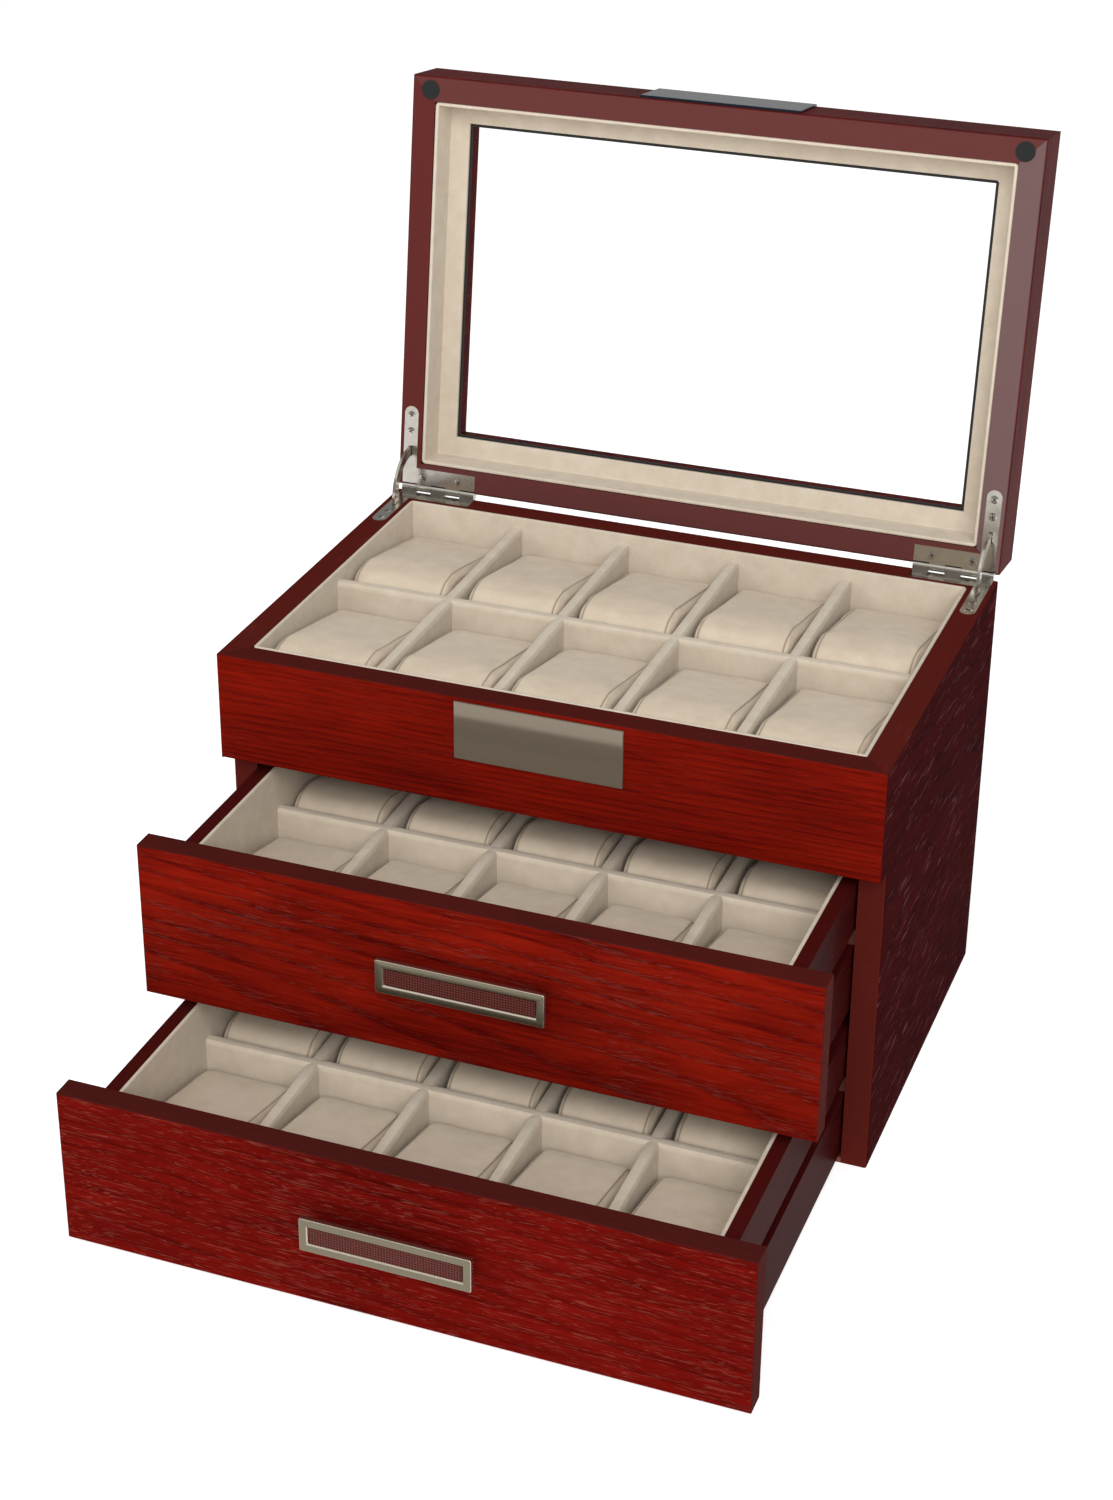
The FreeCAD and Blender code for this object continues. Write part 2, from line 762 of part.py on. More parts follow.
def stay(name, side, low_angle, high_angle):
    """Return the curved strap that joins the two leaves, with a lug near each end."""
    span = high_angle - low_angle
    radius = S["stay_radius"]
    strap = ring_sector(name + "_strap", side * stay_x, S["stay_board"], radius - S["stay_depth"] / 2,
                        radius + S["stay_depth"] / 2, low_angle, span)
    lugs = []
    for index, angle in enumerate((low_angle.value + LUG_INSET, high_angle.value - LUG_INSET)):
        turn = math.radians(angle)
        lug = cylinder("{}_lug_{}".format(name, index),
                       (side * stay_x - S["lug_length"] / 2, axis_y - radius * math.cos(turn),
                        axis_z + radius * math.sin(turn)), "x", S["lug_radius"], S["lug_length"])
        lugs.append(lug)
    return fuse(name, [strap] + lugs)


def stay_angles():
    """Return the lowest and highest angle of a stay while the lid stands open.

    Below the rim and inside the lid the strap runs on until its lug clears the leaf.
    """
    radius = S["stay_radius"].value
    clear = S["lug_radius"].value + LUG_GAP
    below = S["axis_rise"].value + S["leaf_board"].value + clear
    above = S["lid_gap"].value - S["axis_rise"].value + S["leaf_board"].value + clear
    low = -math.degrees(math.asin(below / radius)) - LUG_INSET
    high = S["lid_angle"].value + math.degrees(math.asin(above / radius)) + LUG_INSET
    return Size(low, "{:.6f}".format(low)), Size(high, "{:.6f}".format(high))


def hinges():
    """Make both hinges: the leaf on the case, the leaf on the lid and the stay."""
    low, high = stay_angles()
    for side, hand in ((-1, "left"), (1, "right")):
        node(hinge_leaf("hinge_case_leaf_" + hand, side, rim - S["leaf_board"], True),
             "hinge_case_leaf_" + hand, "case")
        node(hinge_leaf("hinge_lid_leaf_" + hand, side, lid_foot, False), "hinge_lid_leaf_" + hand, "lid")
        node(stay("hinge_stay_" + hand, side, low, high), "hinge_stay_" + hand, "stay")


# Drawers


def drawer_front(level, foot):
    """Make a drawer front that closes flush with the panel above."""
    name = level + "_drawer_front"
    top = foot + drawer_height
    points = [(-half_width, foot), (half_width, foot), (half_width, top), (-half_width, top)]
    board = extrusion(name + "_board", "XZ_Plane", points, -S["front_board"], S["front_board"])
    round_edges(board, lambda point: point.y < NEAR, S["edge_radius"])
    return node(board, name, level)


def drawer_side(level, side, foot):
    """Make a drawer side with the long groove that rides on its runner."""
    name = "{}_drawer_side_{}".format(level, "left" if side < 0 else "right")
    low = foot + S["box_rise"]
    top = low + box_height
    lip = foot + S["groove_rise"]
    roof = lip + S["groove_height"]
    outer, inner = box_half, box_inner
    bed = box_half - S["groove_depth"]
    section = [(inner, low), (outer, low), (outer, lip), (bed, lip), (bed, roof), (outer, roof),
               (outer, top), (inner, top)]
    points = [(side * u, v) for u, v in section]
    back = S["front_board"] + box_depth
    body = extrusion(name, "XZ_Plane", points, -back, box_depth)
    return node(body, name, level)


def handle(level, foot):
    """Make a framed handle that stands off the drawer front on two posts, and its insert."""
    name = level + "_handle"
    middle = foot + drawer_height / 2 + S["handle_lift"]
    half, rise = S["handle_width"] / 2, S["handle_height"] / 2
    back = -S["handle_standoff"]
    face = back - S["handle_board"]
    border = S["handle_border"]
    points = [(-half, middle - rise), (half, middle - rise), (half, middle + rise), (-half, middle + rise)]
    plate = extrusion(name + "_plate", "XZ_Plane", points, -back, S["handle_board"])
    bevel_edges(plate, lambda point: point.y < face.value + NEAR, S["handle_bevel"])
    floor = face + S["insert_sunk"]
    recess = box(name + "_recess", (border - half, face - MM, middle - rise + border),
                 (half - border, floor, middle + rise - border))
    posts = []
    for side in (-1, 1):
        posts.append(cylinder("{}_post_{}".format(name, side + 1),
                              (side * (half - S["post_inset"]), 0, middle), "y", S["post_radius"],
                              S["handle_standoff"]))
    node(fuse(name, [cut(name + "_frame", plate, [recess])] + posts), name, level)
    insert = box(name + "_fill", (border - half, floor - S["insert_board"], middle - rise + border),
                 (half - border, floor, middle + rise - border))
    node(insert, level + "_handle_insert", level)


def drawer(level, foot):
    """Make one drawer: front, box, handle, lining, dividers and pillows."""
    drawer_front(level, foot)
    for side in (-1, 1):
        drawer_side(level, side, foot)
    inner = box_inner
    low = foot + S["box_rise"]
    front = S["front_board"]
    back = front + box_depth
    well_back = back - S["box_board"]
    floor = low + S["box_floor"]
    top = low + box_height
    node(box(level + "_back", (-inner, well_back, low), (inner, back, top)),
         level + "_drawer_back", level)
    node(box(level + "_floor", (-inner, front, low), (inner, well_back, floor)),
         level + "_drawer_bottom", level)
    handle(level, foot)
    lining_top = top + S["lining_proud"]
    lining(level + "_drawer_lining", inner, front, well_back, floor, lining_top, level)
    board = S["lining_board"]
    places = (inner - board, front + board, well_back - board)
    dividers(level + "_drawer_dividers", *places, floor + board, level)
    rows = [[], []]
    for row, column, (x_low, x_high, near, far) in pillow_places(*places):
        name = "{}_pillow_{}_{}".format(level, row, column)
        rows[row].append(pillow(name, x_low, x_high, near, far, floor + board))
    for row, word in enumerate(("front", "back")):
        name = "{}_drawer_pillows_{}".format(level, word)
        node(group_of(name, rows[row]), name, level)


def top_tray():
    """Make the fixed tray's lining, dividers and ten pillows."""
    lining("top_tray_lining", inner_half, S["wall_board"], inner_back, shelf_top,
           rim + S["lining_proud"], "case")
    board = S["lining_board"]
    places = (inner_half - board, S["wall_board"] + board, inner_back - board)
    dividers("top_tray_dividers", *places, shelf_top + board, "case")
    for row, column, (x_low, x_high, near, far) in pillow_places(*places):
        name = "top_pillow_{}_{}".format("front" if row == 0 else "back", column + 1)
        node(pillow(name, x_low, x_high, near, far, shelf_top + board), name, "case")


def place_groups():
    """Move each group from the shut model to its place at rest, about the middle of the base."""
    hinge_axis = FreeCAD.Vector(0, axis_y.value, axis_z.value)
    opening = FreeCAD.Rotation(FreeCAD.Vector(1, 0, 0), -S["lid_angle"].value)
    pulls = {"upper": S["upper_pull"], "lower": S["lower_pull"]}
    for thing, label, group in NODES:
        if group == "lid":
            middle = FreeCAD.Vector(0, -depth.value / 2, 0)
            thing.Placement = FreeCAD.Placement(middle, opening, hinge_axis)
        else:
            bind(thing, "Placement.Base.y", -depth / 2 - pulls.get(group, 0))
    doc.recompute()


def check_and_write():
    """Stop on any failed object or bad shape, then write one file for each node."""
    broken = [item.Name for item in doc.Objects if set(item.State) & {"Invalid", "Error"}]
    for thing, label, group in NODES:
        if thing.Shape.isNull() or not thing.Shape.isValid():
            broken.append(label)
    if broken:
        raise RuntimeError("failed objects: " + ", ".join(broken))
    os.makedirs("parts", exist_ok=True)
    for thing, label, group in NODES:
        thing.Shape.exportStep(os.path.join("parts", label + ".step"))


lower_foot = S["drawer_lift"]
upper_foot = lower_foot + drawer_height + S["drawer_gap"]

case_boards()
for hand in (-1, 1):
    case_side(hand)
name_plate("name_plate", rim - S["plate_margin"] - S["plate_height"], "case")
runners("upper", upper_foot)
runners("lower", lower_foot)
top_tray()
lid_rails()
lid_fittings()
hinges()
drawer("upper", upper_foot)
drawer("lower", lower_foot)
place_groups()
check_and_write()
for thing, label, group in NODES:
    print(label, group, len(thing.Shape.Solids), round(thing.Shape.Volume, 1))
print(len(NODES), "nodes")
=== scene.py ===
import logging
import math
from dataclasses import dataclass, field, replace
from enum import Enum
from typing import Any, Sequence

import bpy
import numpy as np
from mathutils import Matrix, Vector


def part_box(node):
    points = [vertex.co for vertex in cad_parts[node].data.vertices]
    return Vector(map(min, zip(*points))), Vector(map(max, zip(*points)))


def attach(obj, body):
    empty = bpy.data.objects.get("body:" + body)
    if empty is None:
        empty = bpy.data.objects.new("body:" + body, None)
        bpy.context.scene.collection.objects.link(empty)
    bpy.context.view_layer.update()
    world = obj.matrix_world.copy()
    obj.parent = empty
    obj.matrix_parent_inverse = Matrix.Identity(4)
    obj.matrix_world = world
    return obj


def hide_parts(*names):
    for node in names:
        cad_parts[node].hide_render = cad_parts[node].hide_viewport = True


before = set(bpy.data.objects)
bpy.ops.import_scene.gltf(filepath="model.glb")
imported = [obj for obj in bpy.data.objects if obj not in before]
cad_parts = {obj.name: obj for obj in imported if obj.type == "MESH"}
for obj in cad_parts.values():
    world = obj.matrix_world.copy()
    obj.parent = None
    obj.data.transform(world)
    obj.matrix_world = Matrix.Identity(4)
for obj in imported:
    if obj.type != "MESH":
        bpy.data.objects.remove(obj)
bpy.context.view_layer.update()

logging.basicConfig(level=logging.INFO, format="%(message)s")
log = logging.getLogger("watch_box")

MM = 0.001
SIDES = (("left", -1.0), ("right", 1.0))
LEVELS = ("upper", "lower")
ROWS = ("front", "back")
LID_ANGLE = -97.7
LEAST_RADIUS = 0.02 * MM


# Small tools


def linear(code: str) -> tuple[float, float, float, float]:
    """Turn an sRGB hex colour into linear red, green, blue and a full alpha.

    Args:
        code: six hex digits after a hash sign.

    Returns:
        The four linear channels.
    """
    channels = [int(code[i:i + 2], 16) / 255 for i in (1, 3, 5)]
    bent = [c / 12.92 if c <= 0.04045 else ((c + 0.055) / 1.055) ** 2.4 for c in channels]
    return (*bent, 1.0)


def smoothstep(low: float, high: float, value: np.ndarray) -> np.ndarray:
    """Rise smoothly from 0 at low to 1 at high: 3t squared less 2t cubed, with t clipped.

    Args:
        low: value at which the result leaves 0.
        high: value at which the result reaches 1.
        value: the numbers to map.

    Returns:
        The mapped numbers.
    """
    t = np.clip((value - low) / (high - low), 0.0, 1.0)
    return t * t * (3 - 2 * t)


def node_box(name: str) -> tuple[np.ndarray, np.ndarray]:
    """Return the lowest and highest corner of a frame node as arrays, in metres."""
    low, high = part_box(name)
    return np.array(low, float), np.array(high, float)


def add_object(name: str, mesh: bpy.types.Mesh) -> bpy.types.Object:
    """Link a new object into the scene.

    Args:
        name: the object's name.
        mesh: its mesh.

    Returns:
        The linked object.
    """
    thing = bpy.data.objects.new(name, mesh)
    bpy.context.scene.collection.objects.link(thing)
    return thing


def make_object(name: str, points: np.ndarray, faces: list, body: str,
                smooth: bool = True) -> bpy.types.Object:
    """Put arrays into a new mesh object that rides on a body.

    Args:
        name: the object's name.
        points: vertex places, one row each, in metres in the CAD frame.
        faces: arrays of corner indices, one row per face, each array with its own corner count.
        body: the frame body that carries the piece.
        smooth: whether the faces are shaded smooth.

    Returns:
        The linked object.
    """
    mesh = bpy.data.meshes.new(name)
    rows = [row.tolist() for block in faces for row in block]
    mesh.from_pydata(np.asarray(points, float).reshape(-1, 3).tolist(), [], rows)
    mesh.polygons.foreach_set("use_smooth", np.full(len(mesh.polygons), smooth))
    mesh.update()
    thing = add_object(name, mesh)
    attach(thing, body)
    return thing


def grid_faces(rows: int, columns: int, close_rows: bool, close_columns: bool) -> np.ndarray:
    """Return the quads of a grid of points stored row by row.

    Args:
        rows: number of rows.
        columns: number of points in a row.
        close_rows: whether the last row joins the first.
        close_columns: whether the last point of a row joins its first.

    Returns:
        One row of four corner indices per quad.
    """
    r = np.arange(rows if close_rows else rows - 1)
    c = np.arange(columns if close_columns else columns - 1)
    r, c = np.meshgrid(r, c, indexing="ij")
    r2, c2 = (r + 1) % rows, (c + 1) % columns
    here, there = r * columns, r2 * columns
    return np.stack([here + c, here + c2, there + c2, there + c], axis=-1).reshape(-1, 4)


def outward(points: np.ndarray, faces: list) -> list:
    """Turn all faces over when the solid that they close has a negative volume.

    The volume is a sixth of the sum, over each face's triangles, of a corner dotted with
    the cross product of the other two.

    Args:
        points: the corners, one row each.
        faces: the face blocks.

    Returns:
        The face blocks, pointing outwards.
    """
    total = 0.0
    for block in faces:
        for k in range(1, block.shape[1] - 1):
            a, b, c = points[block[:, 0]], points[block[:, k]], points[block[:, k + 1]]
            total += float(np.einsum("ij,ij->", a, np.cross(b, c)))
    return faces if total > 0 else [block[:, ::-1] for block in faces]


def closed_loft(rings: np.ndarray) -> tuple[np.ndarray, list]:
    """Skin a stack of closed rings and close both ends with a flat face each.

    Args:
        rings: stations by points by three coordinates.

    Returns:
        The points and the face blocks, pointing outwards.
    """
    stations, count, _ = rings.shape
    points = rings.reshape(-1, 3)
    sides = grid_faces(stations, count, False, True)
    ends = np.stack([np.arange(count)[::-1], np.arange(count) + (stations - 1) * count])
    return points, outward(points, [sides, ends])


def ring_loft(rings: np.ndarray) -> tuple[np.ndarray, list]:
    """Skin a closed section that is carried round a closed path, so that it needs no ends.

    Args:
        rings: stations by points by three coordinates.

    Returns:
        The points and the face blocks, pointing outwards.
    """
    stations, count, _ = rings.shape
    points = rings.reshape(-1, 3)
    return points, outward(points, [grid_faces(stations, count, True, True)])


def join_parts(parts: Sequence[tuple[np.ndarray, list]]) -> tuple[np.ndarray, list]:
    """Join separate closed surfaces into one piece.

    Args:
        parts: the points and face blocks of each surface.

    Returns:
        The joined points and face blocks.
    """
    points, faces, start = [], [], 0
    for part_points, part_faces in parts:
        points.append(part_points)
        faces += [block + start for block in part_faces]
        start += len(part_points)
    return np.concatenate(points), faces


def rectangle(low: Sequence[float], high: Sequence[float]) -> np.ndarray:
    """Return the four corners of a rectangle in the plane, turning from its lowest one."""
    return np.array([[low[0], low[1]], [high[0], low[1]], [high[0], high[1]], [low[0], high[1]]])


def raised(plan: np.ndarray, height: np.ndarray) -> np.ndarray:
    """Add a height to rings of plan points: one for each ring, or one for each point of a ring."""
    return np.concatenate([plan, np.broadcast_to(height, plan.shape[:2] + (1,))], -1)


def rounded_outline(corners: np.ndarray, radii: Sequence[float], steps: int) -> np.ndarray:
    """Round the corners of a closed outline with circular arcs.

    Each arc starts and ends at the radius times the tangent of half the turn from its
    corner, and its points run at equal angles about the arc's centre.

    Args:
        corners: the outline's corners in order, one row of two numbers each.
        radii: one radius per corner.
        steps: points per arc, at least two.

    Returns:
        The rounded outline, with the same number of points on each arc.
    """
    before = np.roll(corners, 1, axis=0) - corners
    after = np.roll(corners, -1, axis=0) - corners
    before /= np.linalg.norm(before, axis=1, keepdims=True)
    after /= np.linalg.norm(after, axis=1, keepdims=True)
    half = np.arccos(np.clip((before * after).sum(1), -1, 1)) / 2
    radius = np.asarray(radii, float)
    middle = before + after
    middle /= np.linalg.norm(middle, axis=1, keepdims=True)
    centre = corners + middle * (radius / np.sin(half))[:, None]
    start = corners + before * (radius / np.tan(half))[:, None] - centre
    end = corners + after * (radius / np.tan(half))[:, None] - centre
    turn = np.arctan2(start[:, 0] * end[:, 1] - start[:, 1] * end[:, 0], (start * end).sum(1))
    angle = turn[:, None] * np.linspace(0, 1, steps)[None, :]
    x = start[:, None, 0] * np.cos(angle) - start[:, None, 1] * np.sin(angle)
    y = start[:, None, 0] * np.sin(angle) + start[:, None, 1] * np.cos(angle)
    return (np.stack([x, y], -1) + centre[:, None, :]).reshape(-1, 2)


def even_outline(outline: np.ndarray, count: int) -> np.ndarray:
    """Place points at equal steps of length round a closed outline.

    Args:
        outline: the outline's points in the plane.
        count: how many points are wanted.

    Returns:
        The new points.
    """
    closed = np.vstack([outline, outline[:1]])
    pieces = np.linalg.norm(np.diff(closed, axis=0), axis=1)
    length = np.concatenate([[0], np.cumsum(pieces)])
    at = np.linspace(0, length[-1], count, endpoint=False)
    return np.stack([np.interp(at, length, closed[:, k]) for k in range(2)], -1)


def slab_rings(low: np.ndarray, high: np.ndarray, radius: float,
               heights: Sequence[float]) -> np.ndarray:
    """Return the two outlines of a flat board whose corners are rounded in plan.

    Args:
        low: lowest corner of the plan.
        high: highest corner.
        radius: corner radius.
        heights: height of the lower and the upper outline.

    Returns:
        Two rings of points.
    """
    plan = rounded_outline(rectangle(low, high), [radius] * 4, 3)
    return raised(np.broadcast_to(plan[None], (2,) + plan.shape), np.array(heights)[:, None, None])


def swept_frame(low: np.ndarray, high: np.ndarray, section: np.ndarray, radius: float,
                steps: int = 5) -> tuple[np.ndarray, list]:
    """Carry a closed section round a rounded rectangle in the XY plane.

    A section point (s, z) follows the rectangle drawn in by s on every side, at height z. Its
    corners are arcs of the outer radius less s, or nearly sharp mitres where that is used up.

    Args:
        low: lowest corner of the outside of the frame.
        high: highest corner.
        section: section points, inward distance and height.
        radius: outer corner radius.
        steps: points per corner.

    Returns:
        Points and face blocks.
    """
    inset = section[None, :, 0:1]
    reach = np.maximum(radius - inset, LEAST_RADIUS)
    angle = np.linspace(0, math.pi / 2, steps)
    middle = (np.asarray(low) + np.asarray(high)) / 2
    half = (np.asarray(high) - np.asarray(low)) / 2
    corners = []
    for k, signs in enumerate(((1, 1), (-1, 1), (-1, -1), (1, -1))):
        turn = angle + k * math.pi / 2
        ray = np.stack([np.cos(turn), np.sin(turn)], -1)[:, None, :]
        corners.append(middle + np.array(signs) * (half - inset - reach) + ray * reach)
    plan = np.concatenate(corners)
    return ring_loft(raised(plan, section[None, :, 1:2]))


def turned(profile: np.ndarray, centre: np.ndarray, axis: np.ndarray,
           steps: int) -> tuple[np.ndarray, list]:
    """Turn a profile of radius and height about an axis, as on a lathe.

    A profile point (r, h) at angle t lands at the centre plus h along the axis plus r times
    the cosine and sine of t along two directions across it.

    Args:
        profile: rows of radius and height, from one end to the other.
        centre: where height zero lies.
        axis: unit vector along the height.
        steps: number of points round.

    Returns:
        Points and face blocks.
    """
    axis = axis / np.linalg.norm(axis)
    helper = np.array([1.0, 0, 0]) if abs(axis[0]) < 0.9 else np.array([0, 1.0, 0])
    u = np.cross(axis, helper)
    u /= np.linalg.norm(u)
    v = np.cross(axis, u)
    t = np.linspace(0, 2 * math.pi, steps, endpoint=False)
    ray = np.cos(t)[:, None] * u + np.sin(t)[:, None] * v
    rings = centre + profile[:, None, 1:2] * axis + profile[:, None, 0:1] * ray[None]
    return closed_loft(rings)


def sharpen(thing: bpy.types.Object, degrees: float) -> None:
    """Keep smooth shading only across edges that turn less than an angle.

    Args:
        thing: the piece.
        degrees: the angle.
    """
    with bpy.context.temp_override(object=thing, active_object=thing, selected_objects=[thing],
                                   selected_editable_objects=[thing]):
        bpy.ops.object.shade_smooth_by_angle(angle=math.radians(degrees))


def tilt(degrees: float) -> Matrix:
    """Return the turn about X by an angle."""
    return Matrix.Rotation(math.radians(degrees), 3, "X")


# Materials


class Graph:
    """The node tree of one material, with one call that adds a node."""

    def __init__(self, name: str) -> None:
        """Start an empty tree for a new material.

        Args:
            name: the material's name.
        """
        self.material = bpy.data.materials.new(name)
        self.material.use_nodes = True
        self.tree = self.material.node_tree
        self.tree.nodes.clear()

    def add(self, kind: str, inputs: dict[Any, Any] | None = None, out: Any = 0,
            stops: Sequence = (), **settings: Any) -> Any:
        """Add a node with its settings, input values and links.

        Args:
            kind: the node type without its ShaderNode prefix.
            inputs: socket name or number to a value, or to the output socket that feeds it.
            out: name or number of the output that is wanted, or None for all of them.
            stops: for a ramp, pairs of position and colour.
            settings: properties of the node.

        Returns:
            The output socket, or the node's outputs.
        """
        node = self.tree.nodes.new("ShaderNode" + kind)
        for key, value in settings.items():
            setattr(node, key, value)
        for key, value in (inputs or {}).items():
            if isinstance(value, bpy.types.NodeSocket):
                self.tree.links.new(value, node.inputs[key])
            else:
                node.inputs[key].default_value = value
        if stops:
            ramp = node.color_ramp
            while len(ramp.elements) < len(stops):
                ramp.elements.new(0.5)
            for element, (place, colour) in zip(ramp.elements, stops):
                element.position = place
                element.color = colour
        return node.outputs if out is None else node.outputs[out]

    def finish(self, shader: bpy.types.NodeSocket) -> bpy.types.Material:
        """Join the shader to the output and return the material."""
        self.add("OutputMaterial", {"Surface": shader}, out=None)
        return self.material


def grey(value: float) -> tuple[float, float, float, float]:
    """Return a grey of a linear value as a colour with full alpha."""
    return (value, value, value, 1.0)


class Grain(Enum):
    """The direction of the wood's fibres: its tilt and its heading in degrees."""

    ALONG_X = (0.0, 0.0)
    ALONG_Y = (0.0, 90.0)
    LID_ALONG_X = (LID_ANGLE, 0.0)
    LID_ALONG_Y = (LID_ANGLE, 90.0)

    def euler(self) -> tuple[float, float, float]:
        """Work out the rotation that takes X to the fibres, with the tilt made last.

        Returns:
            Its XYZ angles in radians.
        """
        angle, heading = self.value
        matrix = tilt(angle) @ Matrix.Rotation(math.radians(heading), 3, "Z")
        return tuple(matrix.to_euler("XYZ"))


@dataclass(frozen=True)
class Veneer:
    """Open-pored ash veneer, stained cherry red and sprayed with satin lacquer.

    The stain sinks deeper in the soft early wood, so growth rings show as darker lines, and
    the lacquer bridges the pores, which show as short pale pinkish streaks that bend with
    the rings. Lengths end in _mm, and pairs of them are along and across the fibres.
    """

    name: str
    light: str
    dark: str
    pore: str
    # edge: the end grain's stain colour, also painted on faces that look up as shade and grey
    # sheen.
    edge: str
    grain: Grain = Grain.ALONG_X
    heart: tuple[float, float, float] = (0.0, 0.0, 0.0)
    taper: float = 0.03
    ring_mm: float = 5.0
    ring_depth: float = 0.5
    pores: float = 0.5
    pore_mm: tuple[float, float] = (10.0, 0.8)
    pore_from: float = 0.60
    patch: float = 0.35
    glow: float = 0.7
    ring_pores: float = 0.07
    gloss: float = 0.004
    roughness: float = 0.38
    edge_share: float = 0.85
    wander_mm: float = 11.0
    ripple_mm: float = 1.0
    wander_cell_mm: tuple[float, float] = (150.0, 32.0)
    ripple_cell_mm: tuple[float, float] = (34.0, 14.0)
    streak_mm: tuple[float, float] = (45.0, 1.5)
    glow_mm: tuple[float, float] = (95.0, 26.0)
    thicket_mm: tuple[float, float] = (70.0, 22.0)

    def noise(self, g: Graph, source: bpy.types.NodeSocket, size_mm: Sequence[float],
              detail: float, roughness: float = 0.55) -> bpy.types.NodeSocket:
        """Return noise whose cells have a size in millimetres along and across the fibres.

        Args:
            g: the graph.
            source: coordinates in metres, with X along the fibres.
            size_mm: cell length and cell width.
            detail: octaves of finer noise.
            roughness: strength of each octave to the last.

        Returns:
            The noise value.
        """
        long, wide = size_mm[0] * MM, size_mm[1] * MM
        place = g.add("Mapping", {"Vector": source, "Scale": (long, wide, wide)},
                      vector_type="TEXTURE")
        return g.add("TexNoise", {"Vector": place, "Scale": 1.0, "Detail": detail,
                                  "Roughness": roughness})

    def material(self) -> bpy.types.Material:
        """Build the node material.

        Rings: distance from a slightly tapered tree axis, bent by noise, divided by the ring
        width; its fraction gives early and late wood. Pores: noise stretched along the bent
        fibres and cut at a threshold, thicker in some patches. The end grain takes the darker
        edge stain; faces that look up take the same edge colour as painted shade and sheen.

        Returns:
            The material.
        """
        g = Graph(self.name)
        place = g.add("TexCoord", out="Object")
        local = g.add("Mapping", {"Vector": place, "Location": self.heart,
                                  "Rotation": self.grain.euler()}, vector_type="TEXTURE")
        wander = self.noise(g, local, self.wander_cell_mm, 3.0)
        ripple = self.noise(g, local, self.ripple_cell_mm, 2.0)
        sway = g.add("Math", {0: wander, 1: self.wander_mm * MM}, operation="MULTIPLY")
        sway = g.add("Math", {0: ripple, 1: self.ripple_mm * MM, 2: sway},
                     operation="MULTIPLY_ADD")
        shift = g.add("CombineXYZ", {"Y": sway, "Z": sway})
        fibre = g.add("VectorMath", {0: local, 1: shift}, operation="ADD")
        early = self.early_wood(g, local, sway)
        streak = self.noise(g, fibre, self.streak_mm, 4.0, 0.6)
        broad = self.noise(g, local, self.glow_mm, 2.0)
        figure = g.add("Math", {0: early, 1: self.ring_depth * 0.5, 2: streak},
                       operation="MULTIPLY_ADD")
        figure = g.add("Math", {0: broad, 1: self.glow, 2: figure}, operation="MULTIPLY_ADD")
        middle = 0.5 + self.glow * 0.5 + self.ring_depth * 0.15
        tone = g.add("MapRange", {"Value": figure, "From Min": middle - 0.3,
                                  "From Max": middle + 0.35}, clamp=True)
        wood = g.add("Mix", {"Factor": tone, 6: linear(self.light), 7: linear(self.dark)},
                     out=2, data_type="RGBA")
        pore = self.pore_share(g, fibre, local, early)
        share = g.add("Math", {0: pore, 1: self.pores}, operation="MULTIPLY")
        stained = g.add("Mix", {"Factor": share, 6: wood, 7: linear(self.pore)},
                        out=2, data_type="RGBA")
        coloured = self.edge_stain_and_painted_light(g, stained)
        bump = g.add("Bump", {"Height": pore, "Strength": 0.15, "Distance": 0.2 * MM},
                     invert=True)
        rough = g.add("MapRange", {"Value": share, "To Min": self.roughness,
                                   "To Max": self.roughness + 0.2}, clamp=True)
        return g.finish(g.add("BsdfPrincipled", {
            "Base Color": coloured, "Roughness": rough, "Normal": bump,
            "Specular IOR Level": self.gloss}))

    def early_wood(self, g: Graph, local: bpy.types.NodeSocket,
                   sway: bpy.types.NodeSocket) -> bpy.types.NodeSocket:
        """Return 1 in the soft early wood at the start of each growth ring and 0 in its late wood.

        Args:
            g: the graph.
            local: coordinates about the tree's heart, with X along the fibres.
            sway: how far the rings are bent, in metres.

        Returns:
            The share of early wood.
        """
        parts = g.add("SeparateXYZ", {0: local}, out=None)
        across = g.add("CombineXYZ", {"Y": parts[1], "Z": parts[2]})
        reach = g.add("VectorMath", {0: across}, out="Value", operation="LENGTH")
        sloped = g.add("Math", {0: parts[0], 1: self.taper, 2: reach}, operation="MULTIPLY_ADD")
        bent = g.add("Math", {0: sloped, 1: sway}, operation="ADD")
        rings = g.add("Math", {0: bent, 1: 1 / (self.ring_mm * MM)}, operation="MULTIPLY")
        cycle = g.add("Math", {0: rings}, operation="FRACT")
        return g.add("ValToRGB", {0: cycle}, stops=[
            (0.0, grey(1.0)), (0.35, grey(0.2)), (0.85, grey(0.0)), (1.0, grey(1.0))])

    def pore_share(self, g: Graph, fibre: bpy.types.NodeSocket, local: bpy.types.NodeSocket,
                   early: bpy.types.NodeSocket) -> bpy.types.NodeSocket:
        """Return 1 inside the pores: stretched noise over a limit that differs by patches.

        Args:
            g: the graph.
            fibre: coordinates that bend with the fibres.
            local: coordinates that don't bend.
            early: the share of early wood, which holds more pores.

        Returns:
            The share of pore.
        """
        speck = self.noise(g, fibre, self.pore_mm, 2.0, 0.5)
        loaded = g.add("Math", {0: early, 1: self.ring_pores, 2: speck}, operation="MULTIPLY_ADD")
        thicket = self.noise(g, local, self.thicket_mm, 1.0)
        limit = g.add("Math", {0: thicket, 1: self.patch, 2: self.pore_from - self.patch * 0.5},
                      operation="MULTIPLY_ADD")
        over = g.add("Math", {0: loaded, 1: limit}, operation="SUBTRACT")
        return g.add("MapRange", {"Value": over, "From Min": 0.0, "From Max": 0.05}, clamp=True)

